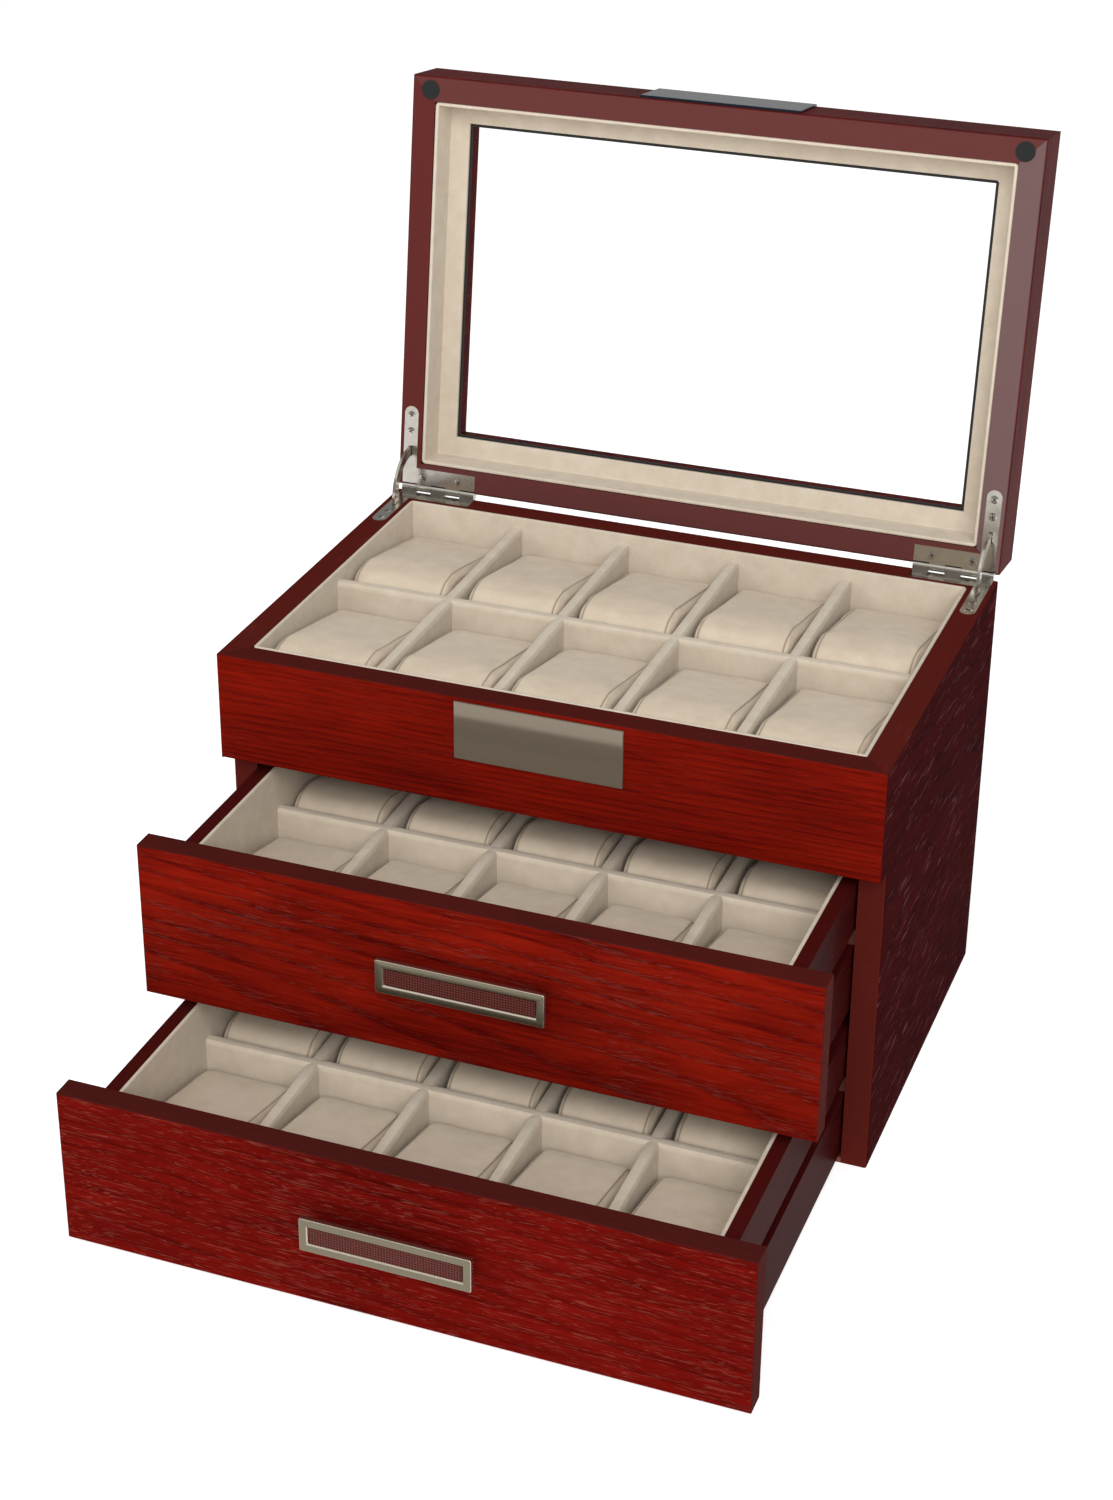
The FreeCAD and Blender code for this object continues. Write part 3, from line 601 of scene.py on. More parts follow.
    def edge_stain_and_painted_light(self, g: Graph, stained: bpy.types.NodeSocket) -> bpy.types.NodeSocket:
        """Give each board's end grain its darker edge stain, and faces that look up, or into the
        room on the lid, the same edge colour as painted shade and painted grey sheen.

        A face's share is the cosine of its angle to that direction, mapped to run from 0 at
        0.55 to the edge share at 0.95.

        Args:
            g: the graph.
            stained: the colour of the broad faces.

        Returns:
            The colour with the edge stain and the painted shade and sheen.
        """
        facing = g.add("TexCoord", out="Normal")
        up = (0.0, 0.0, 1.0)
        if self.grain in (Grain.LID_ALONG_X, Grain.LID_ALONG_Y):
            up = tuple(tilt(LID_ANGLE) @ Vector((0.0, 0.0, -1.0)))
        rise = g.add("VectorMath", {0: facing, 1: up}, out="Value", operation="DOT_PRODUCT")
        if self.grain in (Grain.ALONG_X, Grain.ALONG_Y):
            end = (0.0, 1.0, 0.0) if self.grain == Grain.ALONG_Y else (1.0, 0.0, 0.0)
            turned_to = g.add("VectorMath", {0: facing, 1: end}, out="Value",
                              operation="DOT_PRODUCT")
            either = g.add("Math", {0: turned_to}, operation="ABSOLUTE")
            rise = g.add("Math", {0: rise, 1: either}, operation="MAXIMUM")
        # Mask of the edge colour: end grain, and up-facing faces as painted shade and sheen.
        top = g.add("MapRange", {"Value": rise, "From Min": 0.55, "From Max": 0.95,
                                 "To Max": self.edge_share}, clamp=True)
        return g.add("Mix", {"Factor": top, 6: stained, 7: linear(self.edge)},
                     out=2, data_type="RGBA")


@dataclass(frozen=True)
class Suede:
    """Microfibre suede glued over board or foam: a short nap that scatters light softly."""

    name: str
    colour: str
    shade: str
    # seam: colour of the painted shade in the seam's groove.
    seam: str = "#85745F"
    mottle_mm: float = 9.0
    nap_mm: float = 0.9
    sheen: float = 0.12

    def material(self) -> bpy.types.Material:
        """Build the node material: mottled nap, soft sheen, and painted shade in the seam's
        groove where the seam attribute is 1.

        Returns:
            The material.
        """
        g = Graph(self.name)
        place = g.add("TexCoord", out="Object")
        layers = []
        for size_mm, detail, rough in ((self.mottle_mm, 4.0, 0.6), (self.nap_mm, 3.0, 0.7)):
            lay = g.add("Mapping", {"Vector": place, "Scale": (size_mm * MM,) * 3},
                        vector_type="TEXTURE")
            layers.append(g.add("TexNoise", {"Vector": lay, "Scale": 1.0, "Detail": detail,
                                             "Roughness": rough}))
        mottle, nap = layers
        blend = g.add("Math", {0: nap, 1: 0.35, 2: mottle}, operation="MULTIPLY_ADD")
        tone = g.add("MapRange", {"Value": blend, "From Min": 0.45, "From Max": 0.95}, clamp=True)
        base = g.add("Mix", {"Factor": tone, 6: linear(self.colour), 7: linear(self.shade)},
                     out=2, data_type="RGBA")
        # Painted shade in the seam's groove, where the seam attribute is 1.
        seam = g.add("Attribute", out="Fac", attribute_name="seam")
        lined = g.add("Mix", {"Factor": seam, 6: base, 7: linear(self.seam)},
                      out=2, data_type="RGBA")
        bump = g.add("Bump", {"Height": nap, "Strength": 0.25, "Distance": 0.3 * MM})
        return g.finish(g.add("BsdfPrincipled", {
            "Base Color": lined, "Roughness": 0.92, "Normal": bump, "Sheen Weight": self.sheen,
            "Sheen Roughness": 0.45, "Specular IOR Level": 0.2}))


@dataclass(frozen=True)
class Metal:
    """Plated or brushed metal; brush lines are fine scratches along one direction.

    A lacquered plate is less than fully metallic, because its clear coat hides part of the
    metal's own reflection.
    """

    name: str
    colour: str
    scratch: str
    roughness: float
    brush_mm: tuple[float, float, float] = (30.0, 0.25, 0.25)
    brush: float = 0.3
    metallic: float = 1.0
    bevels: str = ""

    def material(self) -> bpy.types.Material:
        """Build the node material: stretched noise varies colour, roughness and a slight bump.

        Where bevels has a colour, faces that don't look straight forward take it as a painted
        highlight, which makes them bright.

        Returns:
            The material.
        """
        g = Graph(self.name)
        place = g.add("TexCoord", out="Object")
        lay = g.add("Mapping", {"Vector": place, "Scale": tuple(v * MM for v in self.brush_mm)},
                    vector_type="TEXTURE")
        line = g.add("TexNoise", {"Vector": lay, "Scale": 1.0, "Detail": 3.0, "Roughness": 0.65})
        spread = g.add("MapRange", {"Value": line, "From Min": 0.3, "From Max": 0.7}, clamp=True)
        share = g.add("Math", {0: spread, 1: self.brush}, operation="MULTIPLY")
        base = g.add("Mix", {"Factor": share, 6: linear(self.colour), 7: linear(self.scratch)},
                     out=2, data_type="RGBA")
        # Painted highlight: faces that don't look straight forward take the brighter bevels colour.
        if self.bevels:
            facing = g.add("TexCoord", out="Normal")
            front = g.add("VectorMath", {0: facing, 1: (0.0, -1.0, 0.0)}, out="Value",
                          operation="DOT_PRODUCT")
            edge = g.add("MapRange", {"Value": front, "From Min": 0.8, "From Max": 0.97,
                                      "To Min": 1.0, "To Max": 0.0}, clamp=True)
            base = g.add("Mix", {"Factor": edge, 6: base, 7: linear(self.bevels)},
                         out=2, data_type="RGBA")
        rough = g.add("MapRange", {"Value": spread, "To Min": self.roughness * 0.85,
                                   "To Max": self.roughness * 1.2}, clamp=True)
        bump = g.add("Bump", {"Height": line, "Strength": 0.04 * self.brush,
                              "Distance": 0.1 * MM})
        return g.finish(g.add("BsdfPrincipled", {
            "Base Color": base, "Metallic": self.metallic, "Roughness": rough, "Normal": bump}))


@dataclass(frozen=True)
class Plain:
    """A dense material with a fine grain: rubber, felt, bare inner board, and the black of painted
    shade.
    """

    name: str
    colour: str
    shade: str
    roughness: float
    grain_mm: tuple[float, float, float] = (1.5, 1.5, 1.5)
    bump: float = 0.1

    def material(self) -> bpy.types.Material:
        """Build the node material: noise varies the colour a little and gives a slight bump.

        Returns:
            The material.
        """
        g = Graph(self.name)
        place = g.add("TexCoord", out="Object")
        lay = g.add("Mapping", {"Vector": place, "Scale": tuple(v * MM for v in self.grain_mm)},
                    vector_type="TEXTURE")
        noise = g.add("TexNoise", {"Vector": lay, "Scale": 1.0, "Detail": 3.0})
        base = g.add("Mix", {"Factor": noise, 6: linear(self.colour), 7: linear(self.shade)},
                     out=2, data_type="RGBA")
        bump = g.add("Bump", {"Height": noise, "Strength": self.bump, "Distance": 0.2 * MM})
        return g.finish(g.add("BsdfPrincipled", {
            "Base Color": base, "Roughness": self.roughness, "Normal": bump}))


@dataclass(frozen=True)
class WovenInsert:
    """Embossed leather with a slanted basket pattern, drawn at 1.9 mm; the real one is finer."""

    name: str = "woven_maroon_leather"
    colour: str = "#64302A"
    shade: str = "#260B08"
    cell_mm: float = 1.9
    slant: float = math.radians(45)

    def material(self) -> bpy.types.Material:
        """Build the node material: two crossed waves, turned by the slant, painted shade in the
        grooves.

        Returns:
            The material.
        """
        g = Graph(self.name)
        place = g.add("TexCoord", out="Object")
        lay = g.add("Mapping", {"Vector": place, "Rotation": (0.0, self.slant, 0.0),
                                "Scale": (self.cell_mm * MM,) * 3}, vector_type="TEXTURE")
        parts = g.add("SeparateXYZ", {0: lay}, out=None)
        waves = []
        for axis in (0, 2):
            turn = g.add("Math", {0: parts[axis], 1: 2 * math.pi}, operation="MULTIPLY")
            waves.append(g.add("Math", {0: turn}, operation="SINE"))
        cross = g.add("Math", {0: waves[0], 1: waves[1]}, operation="MULTIPLY")
        height = g.add("MapRange", {"Value": cross, "From Min": -0.7, "From Max": 0.7}, clamp=True)
        # Painted shade: the low parts of the weave take the shade colour.
        base = g.add("Mix", {"Factor": height, 6: linear(self.shade), 7: linear(self.colour)},
                     out=2, data_type="RGBA")
        bump = g.add("Bump", {"Height": height, "Strength": 0.6, "Distance": 0.3 * MM})
        return g.finish(g.add("BsdfPrincipled", {
            "Base Color": base, "Roughness": 0.5, "Normal": bump, "Specular IOR Level": 0.1}))


@dataclass(frozen=True)
class Pane:
    """Clear float glass; the sheet is thin, so it only shows as a faint reflection."""

    name: str = "clear_float_glass"
    wave_mm: float = 90.0

    def material(self) -> bpy.types.Material:
        """Build the node material: full transmission with a trace of unevenness.

        Returns:
            The material.
        """
        g = Graph(self.name)
        place = g.add("TexCoord", out="Object")
        lay = g.add("Mapping", {"Vector": place, "Scale": (self.wave_mm * MM,) * 3},
                    vector_type="TEXTURE")
        wave = g.add("TexNoise", {"Vector": lay, "Scale": 1.0})
        bump = g.add("Bump", {"Height": wave, "Strength": 0.02, "Distance": 0.5 * MM})
        return g.finish(g.add("BsdfPrincipled", {
            "Base Color": linear("#FFFFFF"), "Roughness": 0.0, "IOR": 1.08,
            "Transmission Weight": 1.0, "Normal": bump}))


def dress(node: str, material: bpy.types.Material) -> None:
    """Give a frame node one material in all its slots.

    Args:
        node: the node's name.
        material: the finish.
    """
    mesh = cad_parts[node].data
    mesh.materials.clear()
    mesh.materials.append(material)
    log.info("dressed %s in %s", node, material.name)


def finish_piece(thing: bpy.types.Object, material: bpy.types.Material) -> bpy.types.Object:
    """Give a new piece its material and note it in the log.

    Args:
        thing: the piece.
        material: the finish.

    Returns:
        The piece.
    """
    thing.data.materials.append(material)
    log.info("built %s: %d faces in %s", thing.name, len(thing.data.polygons), material.name)
    return thing


# Woodwork


@dataclass
class Woodwork:
    """The stained boards: case, lid frame, drawer fronts and drawer boxes."""

    # edge and rim: end grain stain colours, also painted as the shade and grey sheen of faces that
    # look up.
    edge: str = "#421A17"
    rim: str = "#561E18"
    front_gloss: float = 0.0008

    def fronts(self) -> dict[str, Veneer]:
        """Choose the finish of the three front faces, each cut from another part of the log.

        Returns:
            Each front's node and its veneer.
        """
        return {
            "top_front_panel": Veneer(
                "veneer_top_front", "#781408", "#460906", "#7C2A22", self.edge,
                heart=(0.1, -0.16, 0.30), taper=0.01, ring_mm=3.0, ring_depth=0.5, pores=0.1,
                glow=0.5, gloss=self.front_gloss),
            "upper_drawer_front": Veneer(
                "veneer_upper_front", "#7A1509", "#440705", "#6E372F", self.edge,
                heart=(-0.02, -0.225, 0.085), taper=0.10, ring_mm=8.0, ring_depth=0.6,
                pores=0.38, pore_mm=(11.0, 0.45), pore_from=0.66, patch=0.4, glow=1.0,
                ring_pores=0.12, gloss=self.front_gloss),
            "lower_drawer_front": Veneer(
                "veneer_lower_front", "#690E09", "#400705", "#84463A", self.edge,
                heart=(-0.35, -0.33, -0.02), taper=0.06, ring_mm=6.0, ring_depth=0.5,
                pores=0.42, pore_mm=(12.0, 0.45), pore_from=0.612, patch=0.12,
                ring_pores=0.04, gloss=self.front_gloss),
        }

    def case(self) -> None:
        """Dress the fronts, the two sides, whose fibres run from front to back, and the back."""
        for node, veneer in self.fronts().items():
            dress(node, veneer.material())
        # The side veneer is darker than the fronts as painted shade, for faces turned away from the
        # lights.
        side = Veneer(
            "veneer_side_painted_shade", "#3D0A0B", "#260507", "#6C3E40", self.rim, grain=Grain.ALONG_Y,
            heart=(0.13, -0.02, 0.13), taper=0.16, ring_mm=9.0, ring_depth=0.7, pores=0.72,
            pore_mm=(24.0, 0.8), pore_from=0.68, patch=0.2, ring_pores=0.11,
            gloss=0.0002).material()
        for word, _ in SIDES:
            dress("side_panel_" + word, side)
        back = Veneer(
            "veneer_back", "#4C1411", "#2C0A09", "#7A453F", self.rim, heart=(0, 0.3, 0.1),
            taper=0.08, ring_mm=8.0, pores=0.35, pore_from=0.64)
        dress("back_panel", back.material())

    def lid(self) -> None:
        """Dress the four lid rails; their room-facing faces take a painted grey sheen as edge
        colour, paler on the right one as a painted reflection.
        """
        # Edge colours: painted grey sheen on the faces that look into the room; the right stile's
        # paler one is a painted reflection.
        rail = Veneer(
            "veneer_lid_rail", "#5C1412", "#330B0B", "#6E3A34", "#5E3634",
            grain=Grain.LID_ALONG_X, heart=(0.1, 0.2, 0.2), taper=0.02, ring_mm=3.5,
            ring_depth=0.3, pores=0.1)
        stile = replace(rail, name="veneer_lid_stile", edge="#5A2A28", grain=Grain.LID_ALONG_Y,
                        heart=(0.0, 0.1, 0.2))
        painted_sheen_stile = replace(stile, name="veneer_lid_right_stile", edge="#6C5756")
        for words, veneer in ((ROWS, rail), (("left",), stile), (("right",), painted_sheen_stile)):
            material = veneer.material()
            for word in words:
                dress("lid_{}_rail".format(word), material)

    def build(self) -> None:
        """Dress every wooden node."""
        self.case()
        self.lid()
        box = Veneer(
            "veneer_drawer_side", "#3F0E0D", "#260808", "#5E302B", "#42100F",
            grain=Grain.ALONG_Y, heart=(0.1, 0.0, 0.05), taper=0.02, ring_mm=4.0,
            ring_depth=0.3, pores=0.15).material()
        inner = Plain("bare_basswood", "#6E3A26", "#54291B", 0.7, (0.6, 25.0, 0.6)).material()
        for level in LEVELS:
            for part in ("side_left", "side_right", "back"):
                dress("{}_drawer_{}".format(level, part), box)
            dress(level + "_drawer_bottom", inner)
            for word, _ in SIDES:
                dress("runner_{}_{}".format(level, word), inner)
        for node in ("bottom_panel", "tray_shelf"):
            dress(node, inner)


# Padded inside


@dataclass
class Lining:
    """Suede-covered boards that line a well: four walls with folded tops and a floor."""

    node: str
    body: str
    board: float = 2.0 * MM
    fold: float = 0.75 * MM
    gap: float = 0.05 * MM
    foot_round: float = 0.1 * MM
    corner_round: float = 2.3 * MM
    floor_round: float = 1.0 * MM
    floor_tuck: float = 0.6
    crease: float = 50.0

    def build(self, suede: bpy.types.Material) -> bpy.types.Object:
        """Carry a wall section with a rounded top round the well and lay a floor board in it.

        Args:
            suede: the covering.

        Returns:
            The new piece.
        """
        low, high = node_box(self.node)
        foot, top = low[2] + self.gap, high[2]
        corners = np.array([[self.gap, foot], [self.gap, top], [self.board, top],
                            [self.board, foot]])
        radii = [self.foot_round, self.fold, self.fold, self.foot_round]
        section = rounded_outline(corners, radii, 4)
        walls = swept_frame(low[:2], high[:2], section, self.corner_round)
        inset = self.board * self.floor_tuck
        floor = slab_rings(low + inset, high - inset, self.floor_round,
                           (foot, low[2] + self.board - self.gap))
        points, faces = join_parts([walls, closed_loft(floor)])
        thing = make_object(self.body + "_" + self.node + "_suede", points, faces, self.body)
        sharpen(thing, self.crease)
        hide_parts(self.node)
        finish_piece(thing, suede)
        return thing


@dataclass
class Dividers:
    """Thin boards wrapped in suede, with softly rounded tops, that cross in a tray."""

    node: str
    body: str
    columns: int = 5
    board: float = 6.0 * MM
    crown: float = 1.4 * MM
    foot_round: float = 0.2 * MM
    tuck: float = 0.3 * MM
    step_down: float = 0.15 * MM
    crease: float = 50.0

    def board_rings(self, start: Sequence[float], end: Sequence[float], top: float,
                    foot: float) -> tuple[np.ndarray, list]:
        """Carry a section, a rectangle with two rounded upper corners, along a straight line.

        Args:
            start: first end of the board's middle line.
            end: last end.
            top: height of the crown.
            foot: height of the foot.

        Returns:
            Points and face blocks.
        """
        start, end = np.array(start), np.array(end)
        half = self.board / 2
        radii = [self.foot_round, self.foot_round, self.crown, self.crown]
        outline = even_outline(rounded_outline(rectangle((-half, foot), (half, top)), radii, 7), 56)
        along = np.linspace(0, 1, 9)[:, None, None]
        line = start[None, None, :] * (1 - along) + end[None, None, :] * along
        direction = (end - start) / np.linalg.norm(end - start)
        side = np.array([-direction[1], direction[0]])
        plan = line + outline[None, :, 0:1] * side[None, None, :]
        return closed_loft(raised(plan, outline[None, :, 1:2]))

    def build(self, suede: bpy.types.Material) -> bpy.types.Object:
        """Build the cross board and the short boards, tucked into it, from the node's own box.

        Args:
            suede: the covering.

        Returns:
            The new piece.
        """
        low, high = node_box(self.node)
        middle = (low[1] + high[1]) / 2
        parts = [self.board_rings((low[0], middle), (high[0], middle), high[2], low[2])]
        pitch = (high[0] - low[0]) / self.columns
        for near, far in ((low[1], middle - self.tuck), (middle + self.tuck, high[1])):
            for column in range(1, self.columns):
                x = low[0] + pitch * column
                parts.append(self.board_rings((x, near), (x, far), high[2] - self.step_down,
                                              low[2]))
        points, faces = join_parts(parts)
        thing = make_object(self.node + "_suede", points, faces, self.body)
        sharpen(thing, self.crease)
        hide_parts(self.node)
        finish_piece(thing, suede)
        return thing


@dataclass
class PillowForm:
    """The sewn form of one size of watch pillow: a wrapped crown and two end caps."""

    width: float
    depth: float
    height: float = 46.5 * MM
    slope: float = 14.0 * MM
    peak: float = 20.0 * MM
    nose: float = 3.0 * MM
    skin: float = 0.5 * MM
    foot_round: float = 5.0 * MM
    heel_round: float = 11.0 * MM
    crown_round: float = 18.0 * MM
    front_round: float = 13.0 * MM
    cap_round: float = 5.0 * MM
    cap_drop: float = 5.5 * MM
    seam_from_end: float = 3.6 * MM
    seam_width: float = 0.35 * MM
    seam_sink: float = 0.4 * MM
    seam_step: float = 0.55 * MM
    seam_clear: float = 1.0 * MM
    around: int = 96
    corner: float = 8.0 * MM
    swell_cap: float = 0.9 * MM
    cap_shares: tuple[float, ...] = (0.8, 0.55, 0.3, 0.08)

    def profile(self) -> np.ndarray:
        """Draw the side view of the pillow: a round front, a long slope back, a round heel.

        Returns:
            Evenly spaced points, depth and height.
        """
        s, d, h = self.skin, self.depth, self.height
        corners = np.array([[s, s * 0.2], [d - s, s * 0.2], [d - s, h - self.slope],
                            [self.peak, h - s], [s, h - self.nose]])
        radii = [self.foot_round, self.foot_round, self.heel_round, self.crown_round,
                 self.front_round]
        return even_outline(rounded_outline(corners, radii, 12), self.around)

    def stations(self) -> np.ndarray:
        """Place the rings across the width, closer together at the caps and the seams.

        Returns:
            The places, from one end to the other.
        """
        half = self.width / 2 - self.skin
        t = np.linspace(0, 1, 9)[1:]
        cap = half - self.cap_round * (1 - np.sin(t * math.pi / 2))
        seam = half - self.seam_from_end
        near = np.array([seam - self.seam_step, seam, seam + self.seam_step])
        cap = cap[np.abs(cap - seam) > self.seam_clear]
        crown = np.linspace(0, half - self.cap_round, 12)
        right = np.unique(np.concatenate([crown, cap, near]))
        return np.concatenate([-right[::-1], right[1:]])

    def rings(self) -> tuple[np.ndarray, np.ndarray]:
        """Shape the rings of the skin.

        Near an end each ring shrinks towards the profile's middle by d(1 - sqrt(1 - q^2)),
        where q runs from 0 at the start of the round to 1 at the end, and the seam's ring
        sinks by a bell curve of its width. The back corners are drawn in by a quarter circle
        in plan.

        Returns:
            The rings and the seam share of each point.
        """
        outline = self.profile()
        x = self.stations()
        half = self.width / 2 - self.skin
        q = np.clip((np.abs(x) - (half - self.cap_round)) / self.cap_round, 0, 1)
        inset = self.cap_drop * (1 - np.sqrt(1 - (0.985 * q) ** 2))
        from_seam = np.abs(x) - (half - self.seam_from_end)
        seam = np.exp(-((from_seam / self.seam_width) ** 2))
        inset = inset + self.seam_sink * seam
        centre = outline.mean(0)
        ray = outline - centre
        size = np.linalg.norm(ray, axis=1, keepdims=True)
        shrunk = outline[None] - (ray / size)[None] * inset[:, None, None]
        short = np.clip(self.corner - (half - np.abs(x)), 0, self.corner * 0.985)
        pull = self.corner - np.sqrt(self.corner ** 2 - short ** 2)
        shrunk[..., 0] -= pull[:, None] * smoothstep(0.45 * self.depth, self.depth, shrunk[..., 0])
        across = np.broadcast_to(x[:, None, None], shrunk.shape[:2] + (1,))
        rings = np.concatenate([across, shrunk], -1)
        return rings, np.broadcast_to(seam[:, None], shrunk.shape[:2])

    def mesh(self) -> tuple[np.ndarray, list, np.ndarray]:
        """Close the rings with fans of shrinking rings at the ends, so that the caps bulge.

        Returns:
            Points, face blocks and the seam share of each point.
        """
        rings, seam = self.rings()
        ends = []
        for ring, sign in ((rings[0], -1.0), (rings[-1], 1.0)):
            centre = ring.mean(0)
            stack = []
            for share in self.cap_shares:
                inner = centre + (ring - centre) * share
                inner[:, 0] += sign * self.skin * 0.6 * (1 - share)
                stack.append(inner)
            ends.append(np.array(stack))
        full = np.concatenate([ends[0][::-1], rings, ends[1]])
        plain = np.zeros((len(self.cap_shares), self.around))
        points, faces = closed_loft(full)
        return points, faces, np.concatenate([plain, seam, plain]).reshape(-1)


class Upholstery:
    """Simulates each size of pillow once and lays the finished copies into their slots."""

    frames = 16
    cloth = {"quality": 4, "mass": 0.2, "tension_stiffness": 12, "compression_stiffness": 12,
             "bending_stiffness": 1.5, "use_pressure": True, "uniform_pressure_force": 4.0,
             "vertex_group_mass": "hold"}

    def __init__(self, suede: bpy.types.Material) -> None:
        """Keep the covering and start with no finished forms.

        Args:
            suede: the covering of the pillows.
        """
        self.suede = suede
        self.forms: dict[tuple[int, int], bpy.types.Mesh] = {}

    def form(self, width: float, depth: float) -> bpy.types.Mesh:
        """Return the finished mesh of a size, made the first time that it is asked for.

        Args:
            width: the pillow's width.
            depth: its depth.

        Returns:
            The mesh, to be copied.
        """
        key = (round(width * 1e4), round(depth * 1e4))
        if key not in self.forms:
            self.forms[key] = self.stuff(PillowForm(width, depth))
        return self.forms[key]

    def stuff(self, form: PillowForm) -> bpy.types.Mesh:
        """Fill one form with air pressure as cloth, then limit how far each point moved.

        Args:
            form: the sewn form.

        Returns:
            The finished mesh with its seam attribute, one subdivision finer.
        """
        points, faces, seam = form.mesh()
        mesh = bpy.data.meshes.new("pillow_form")
        mesh.from_pydata(points.tolist(), [], [row.tolist() for block in faces for row in block])
        mesh.polygons.foreach_set("use_smooth", np.ones(len(mesh.polygons), bool))
        share = mesh.attributes.new("seam", "FLOAT", "POINT").data
        share.foreach_set("value", seam.astype(np.float32))
        thing = add_object("pillow_form", mesh)
        self.simulate(thing, points, seam, form)
        finer = thing.modifiers.new("finer", "SUBSURF")
        finer.levels = finer.render_levels = 1
        graph = bpy.context.evaluated_depsgraph_get()
        done = bpy.data.meshes.new_from_object(thing.evaluated_get(graph))
        bpy.data.objects.remove(thing)
        return done

    def simulate(self, thing: bpy.types.Object, points: np.ndarray, seam: np.ndarray,
                 form: PillowForm) -> None:
        """Run cloth with pressure and no gravity, holding the foot and the seams.

        A point that moved by d ends up the cap times tanh(d / cap) from where it was.

        Args:
            thing: the object to fill.
            points: its rest points.
            seam: the seam share of each point.
            form: its sizes.
        """
        hold = thing.vertex_groups.new(name="hold")
        low = points[:, 2] < 3 * MM
        for index in np.flatnonzero(low | (seam > 0.5)).tolist():
            hold.add([index], 1.0, "REPLACE")
        cloth = thing.modifiers.new("cloth", "CLOTH")
        for key, value in self.cloth.items():
            setattr(cloth.settings, key, value)
        cloth.settings.effector_weights.gravity = 0.0
        scene = bpy.context.scene
        for step in range(1, self.frames + 1):
            scene.frame_set(step)
        made = thing.evaluated_get(bpy.context.evaluated_depsgraph_get()).data
        moved = np.empty(len(points) * 3, np.float32)
        made.vertices.foreach_get("co", moved)
        shift = moved.reshape(-1, 3) - points
        reach = np.linalg.norm(shift, axis=1, keepdims=True)
        limit = form.swell_cap
        shift *= limit * np.tanh(reach / limit) / np.maximum(reach, 1e-9)
        thing.modifiers.remove(cloth)
        scene.frame_set(1)
        filled = (points + shift).astype(np.float32)
        thing.data.vertices.foreach_set("co", filled.reshape(-1))
        log.info("pillow %.1f x %.1f mm: largest move %.2f mm", form.width / MM, form.depth / MM,
                 float(np.linalg.norm(shift, axis=1).max()) / MM)

    def creased(self, p: np.ndarray, number: int) -> np.ndarray:
        """Give a pillow slight creases and a slight lean of its own.

        The creases are a sum of three sine waves over the plan, up to about half a millimetre
        deep, with phases that depend on the pillow's number, and they fade out at the foot.

        Args:
            p: the points of the finished form.
            number: a running number that sets the phases, a golden angle apart.

        Returns:
            The changed points.
        """
        x, y, z = p[:, 0] / MM, p[:, 1] / MM, p[:, 2] / MM
        phase = number * 2.399
        crease = (np.sin(x / 9.0 + phase) * np.sin(y / 13.0 + 1.7 * phase)
                  + 0.5 * np.sin((x + y) / 7.0 + 2.3 * phase)
                  + 0.3 * np.sin((x - 1.4 * y) / 5.0 + 0.7 * phase))
        p[:, 2] -= (0.18 * MM) * (crease + 1.2) * smoothstep(12.0, 34.0, z)
        lean = 0.5 * MM * math.sin(phase)
        p[:, 0] += lean * smoothstep(5.0, 45.0, z) * 0.6
        return p

    def lay(self, name: str, low: np.ndarray, high: np.ndarray, body: str,
            number: int) -> bpy.types.Object:
        """Place one pillow in its slot; every second one is mirrored.

        Args:
            name: the piece's name.
            low: lowest corner of the pillow's solid.
            high: highest corner.
            body: the body that it rides on.
            number: a running number that sets the creases.

        Returns:
            The new piece.
        """
        mesh = self.form(high[0] - low[0], high[1] - low[1]).copy()
        mesh.name = name
        co = np.empty(len(mesh.vertices) * 3, np.float32)
        mesh.vertices.foreach_get("co", co)
        p = co.reshape(-1, 3).astype(float)
        if number % 2:
            p[:, 0] *= -1
            mesh.flip_normals()
        p = self.creased(p, number) + np.array([(low[0] + high[0]) / 2, low[1], low[2]])
        mesh.vertices.foreach_set("co", p.astype(np.float32).reshape(-1))
        mesh.update()
        thing = add_object(name, mesh)
        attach(thing, body)
        finish_piece(thing, self.suede)
        return thing


@dataclass
class Pillows:
    """The thirty pillows: ten on nodes of their own and four rows of five on shared nodes."""

    columns: int = 5
    board: float = 6.0 * MM
    play: float = 1.2 * MM
    count: int = 0

    def place(self, shop: Upholstery, name: str, low: np.ndarray, high: np.ndarray, body: str,
              node: str) -> None:
        """Lay the next pillow in place of its solid.

        Args:
            shop: the upholstery that makes the forms.
            name: the piece's name.
            low: lowest corner of the pillow's solid.
            high: highest corner.
            body: the body that it rides on.
            node: the node that holds the solid.
        """
        thing = shop.lay(name, low, high, body, self.count)
        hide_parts(node)
        self.count += 1

    def build(self, shop: Upholstery) -> None:
        """Lay every pillow over its solid.

        Args:
            shop: the upholstery that makes the forms.
        """
        for row in ROWS:
            for column in range(1, self.columns + 1):
                node = "top_pillow_{}_{}".format(row, column)
                low, high = node_box(node)
                self.place(shop, "pillow_top_{}_{}".format(row, column), low, high, "case", node)
        for level in LEVELS:
            for row in ROWS:
                self.row_of_five(shop, level, row)

    def row_of_five(self, shop: Upholstery, level: str, row: str) -> None:
        """Split a row's box into five slots, as the dividers do, and lay a pillow in each.

        Args:
            shop: the upholstery that makes the forms.
            level: which drawer.
            row: front or back.
        """
        node = "{}_drawer_pillows_{}".format(level, row)
        low, high = node_box(node)
        start, stop = low[0] - self.play, high[0] + self.play
        pitch = (stop - start) / self.columns
        half = self.board / 2
        for column in range(self.columns):
            left = start + pitch * column + (half if column else 0.0) + self.play
            last = column == self.columns - 1
            right = start + pitch * (column + 1) - (0.0 if last else half) - self.play
            name = "pillow_{}_{}_{}".format(level, row, column + 1)
            self.place(shop, name, np.array([left, low[1], low[2]]),
                       np.array([right, high[1], high[2]]), level + "_drawer", node)


# Lid


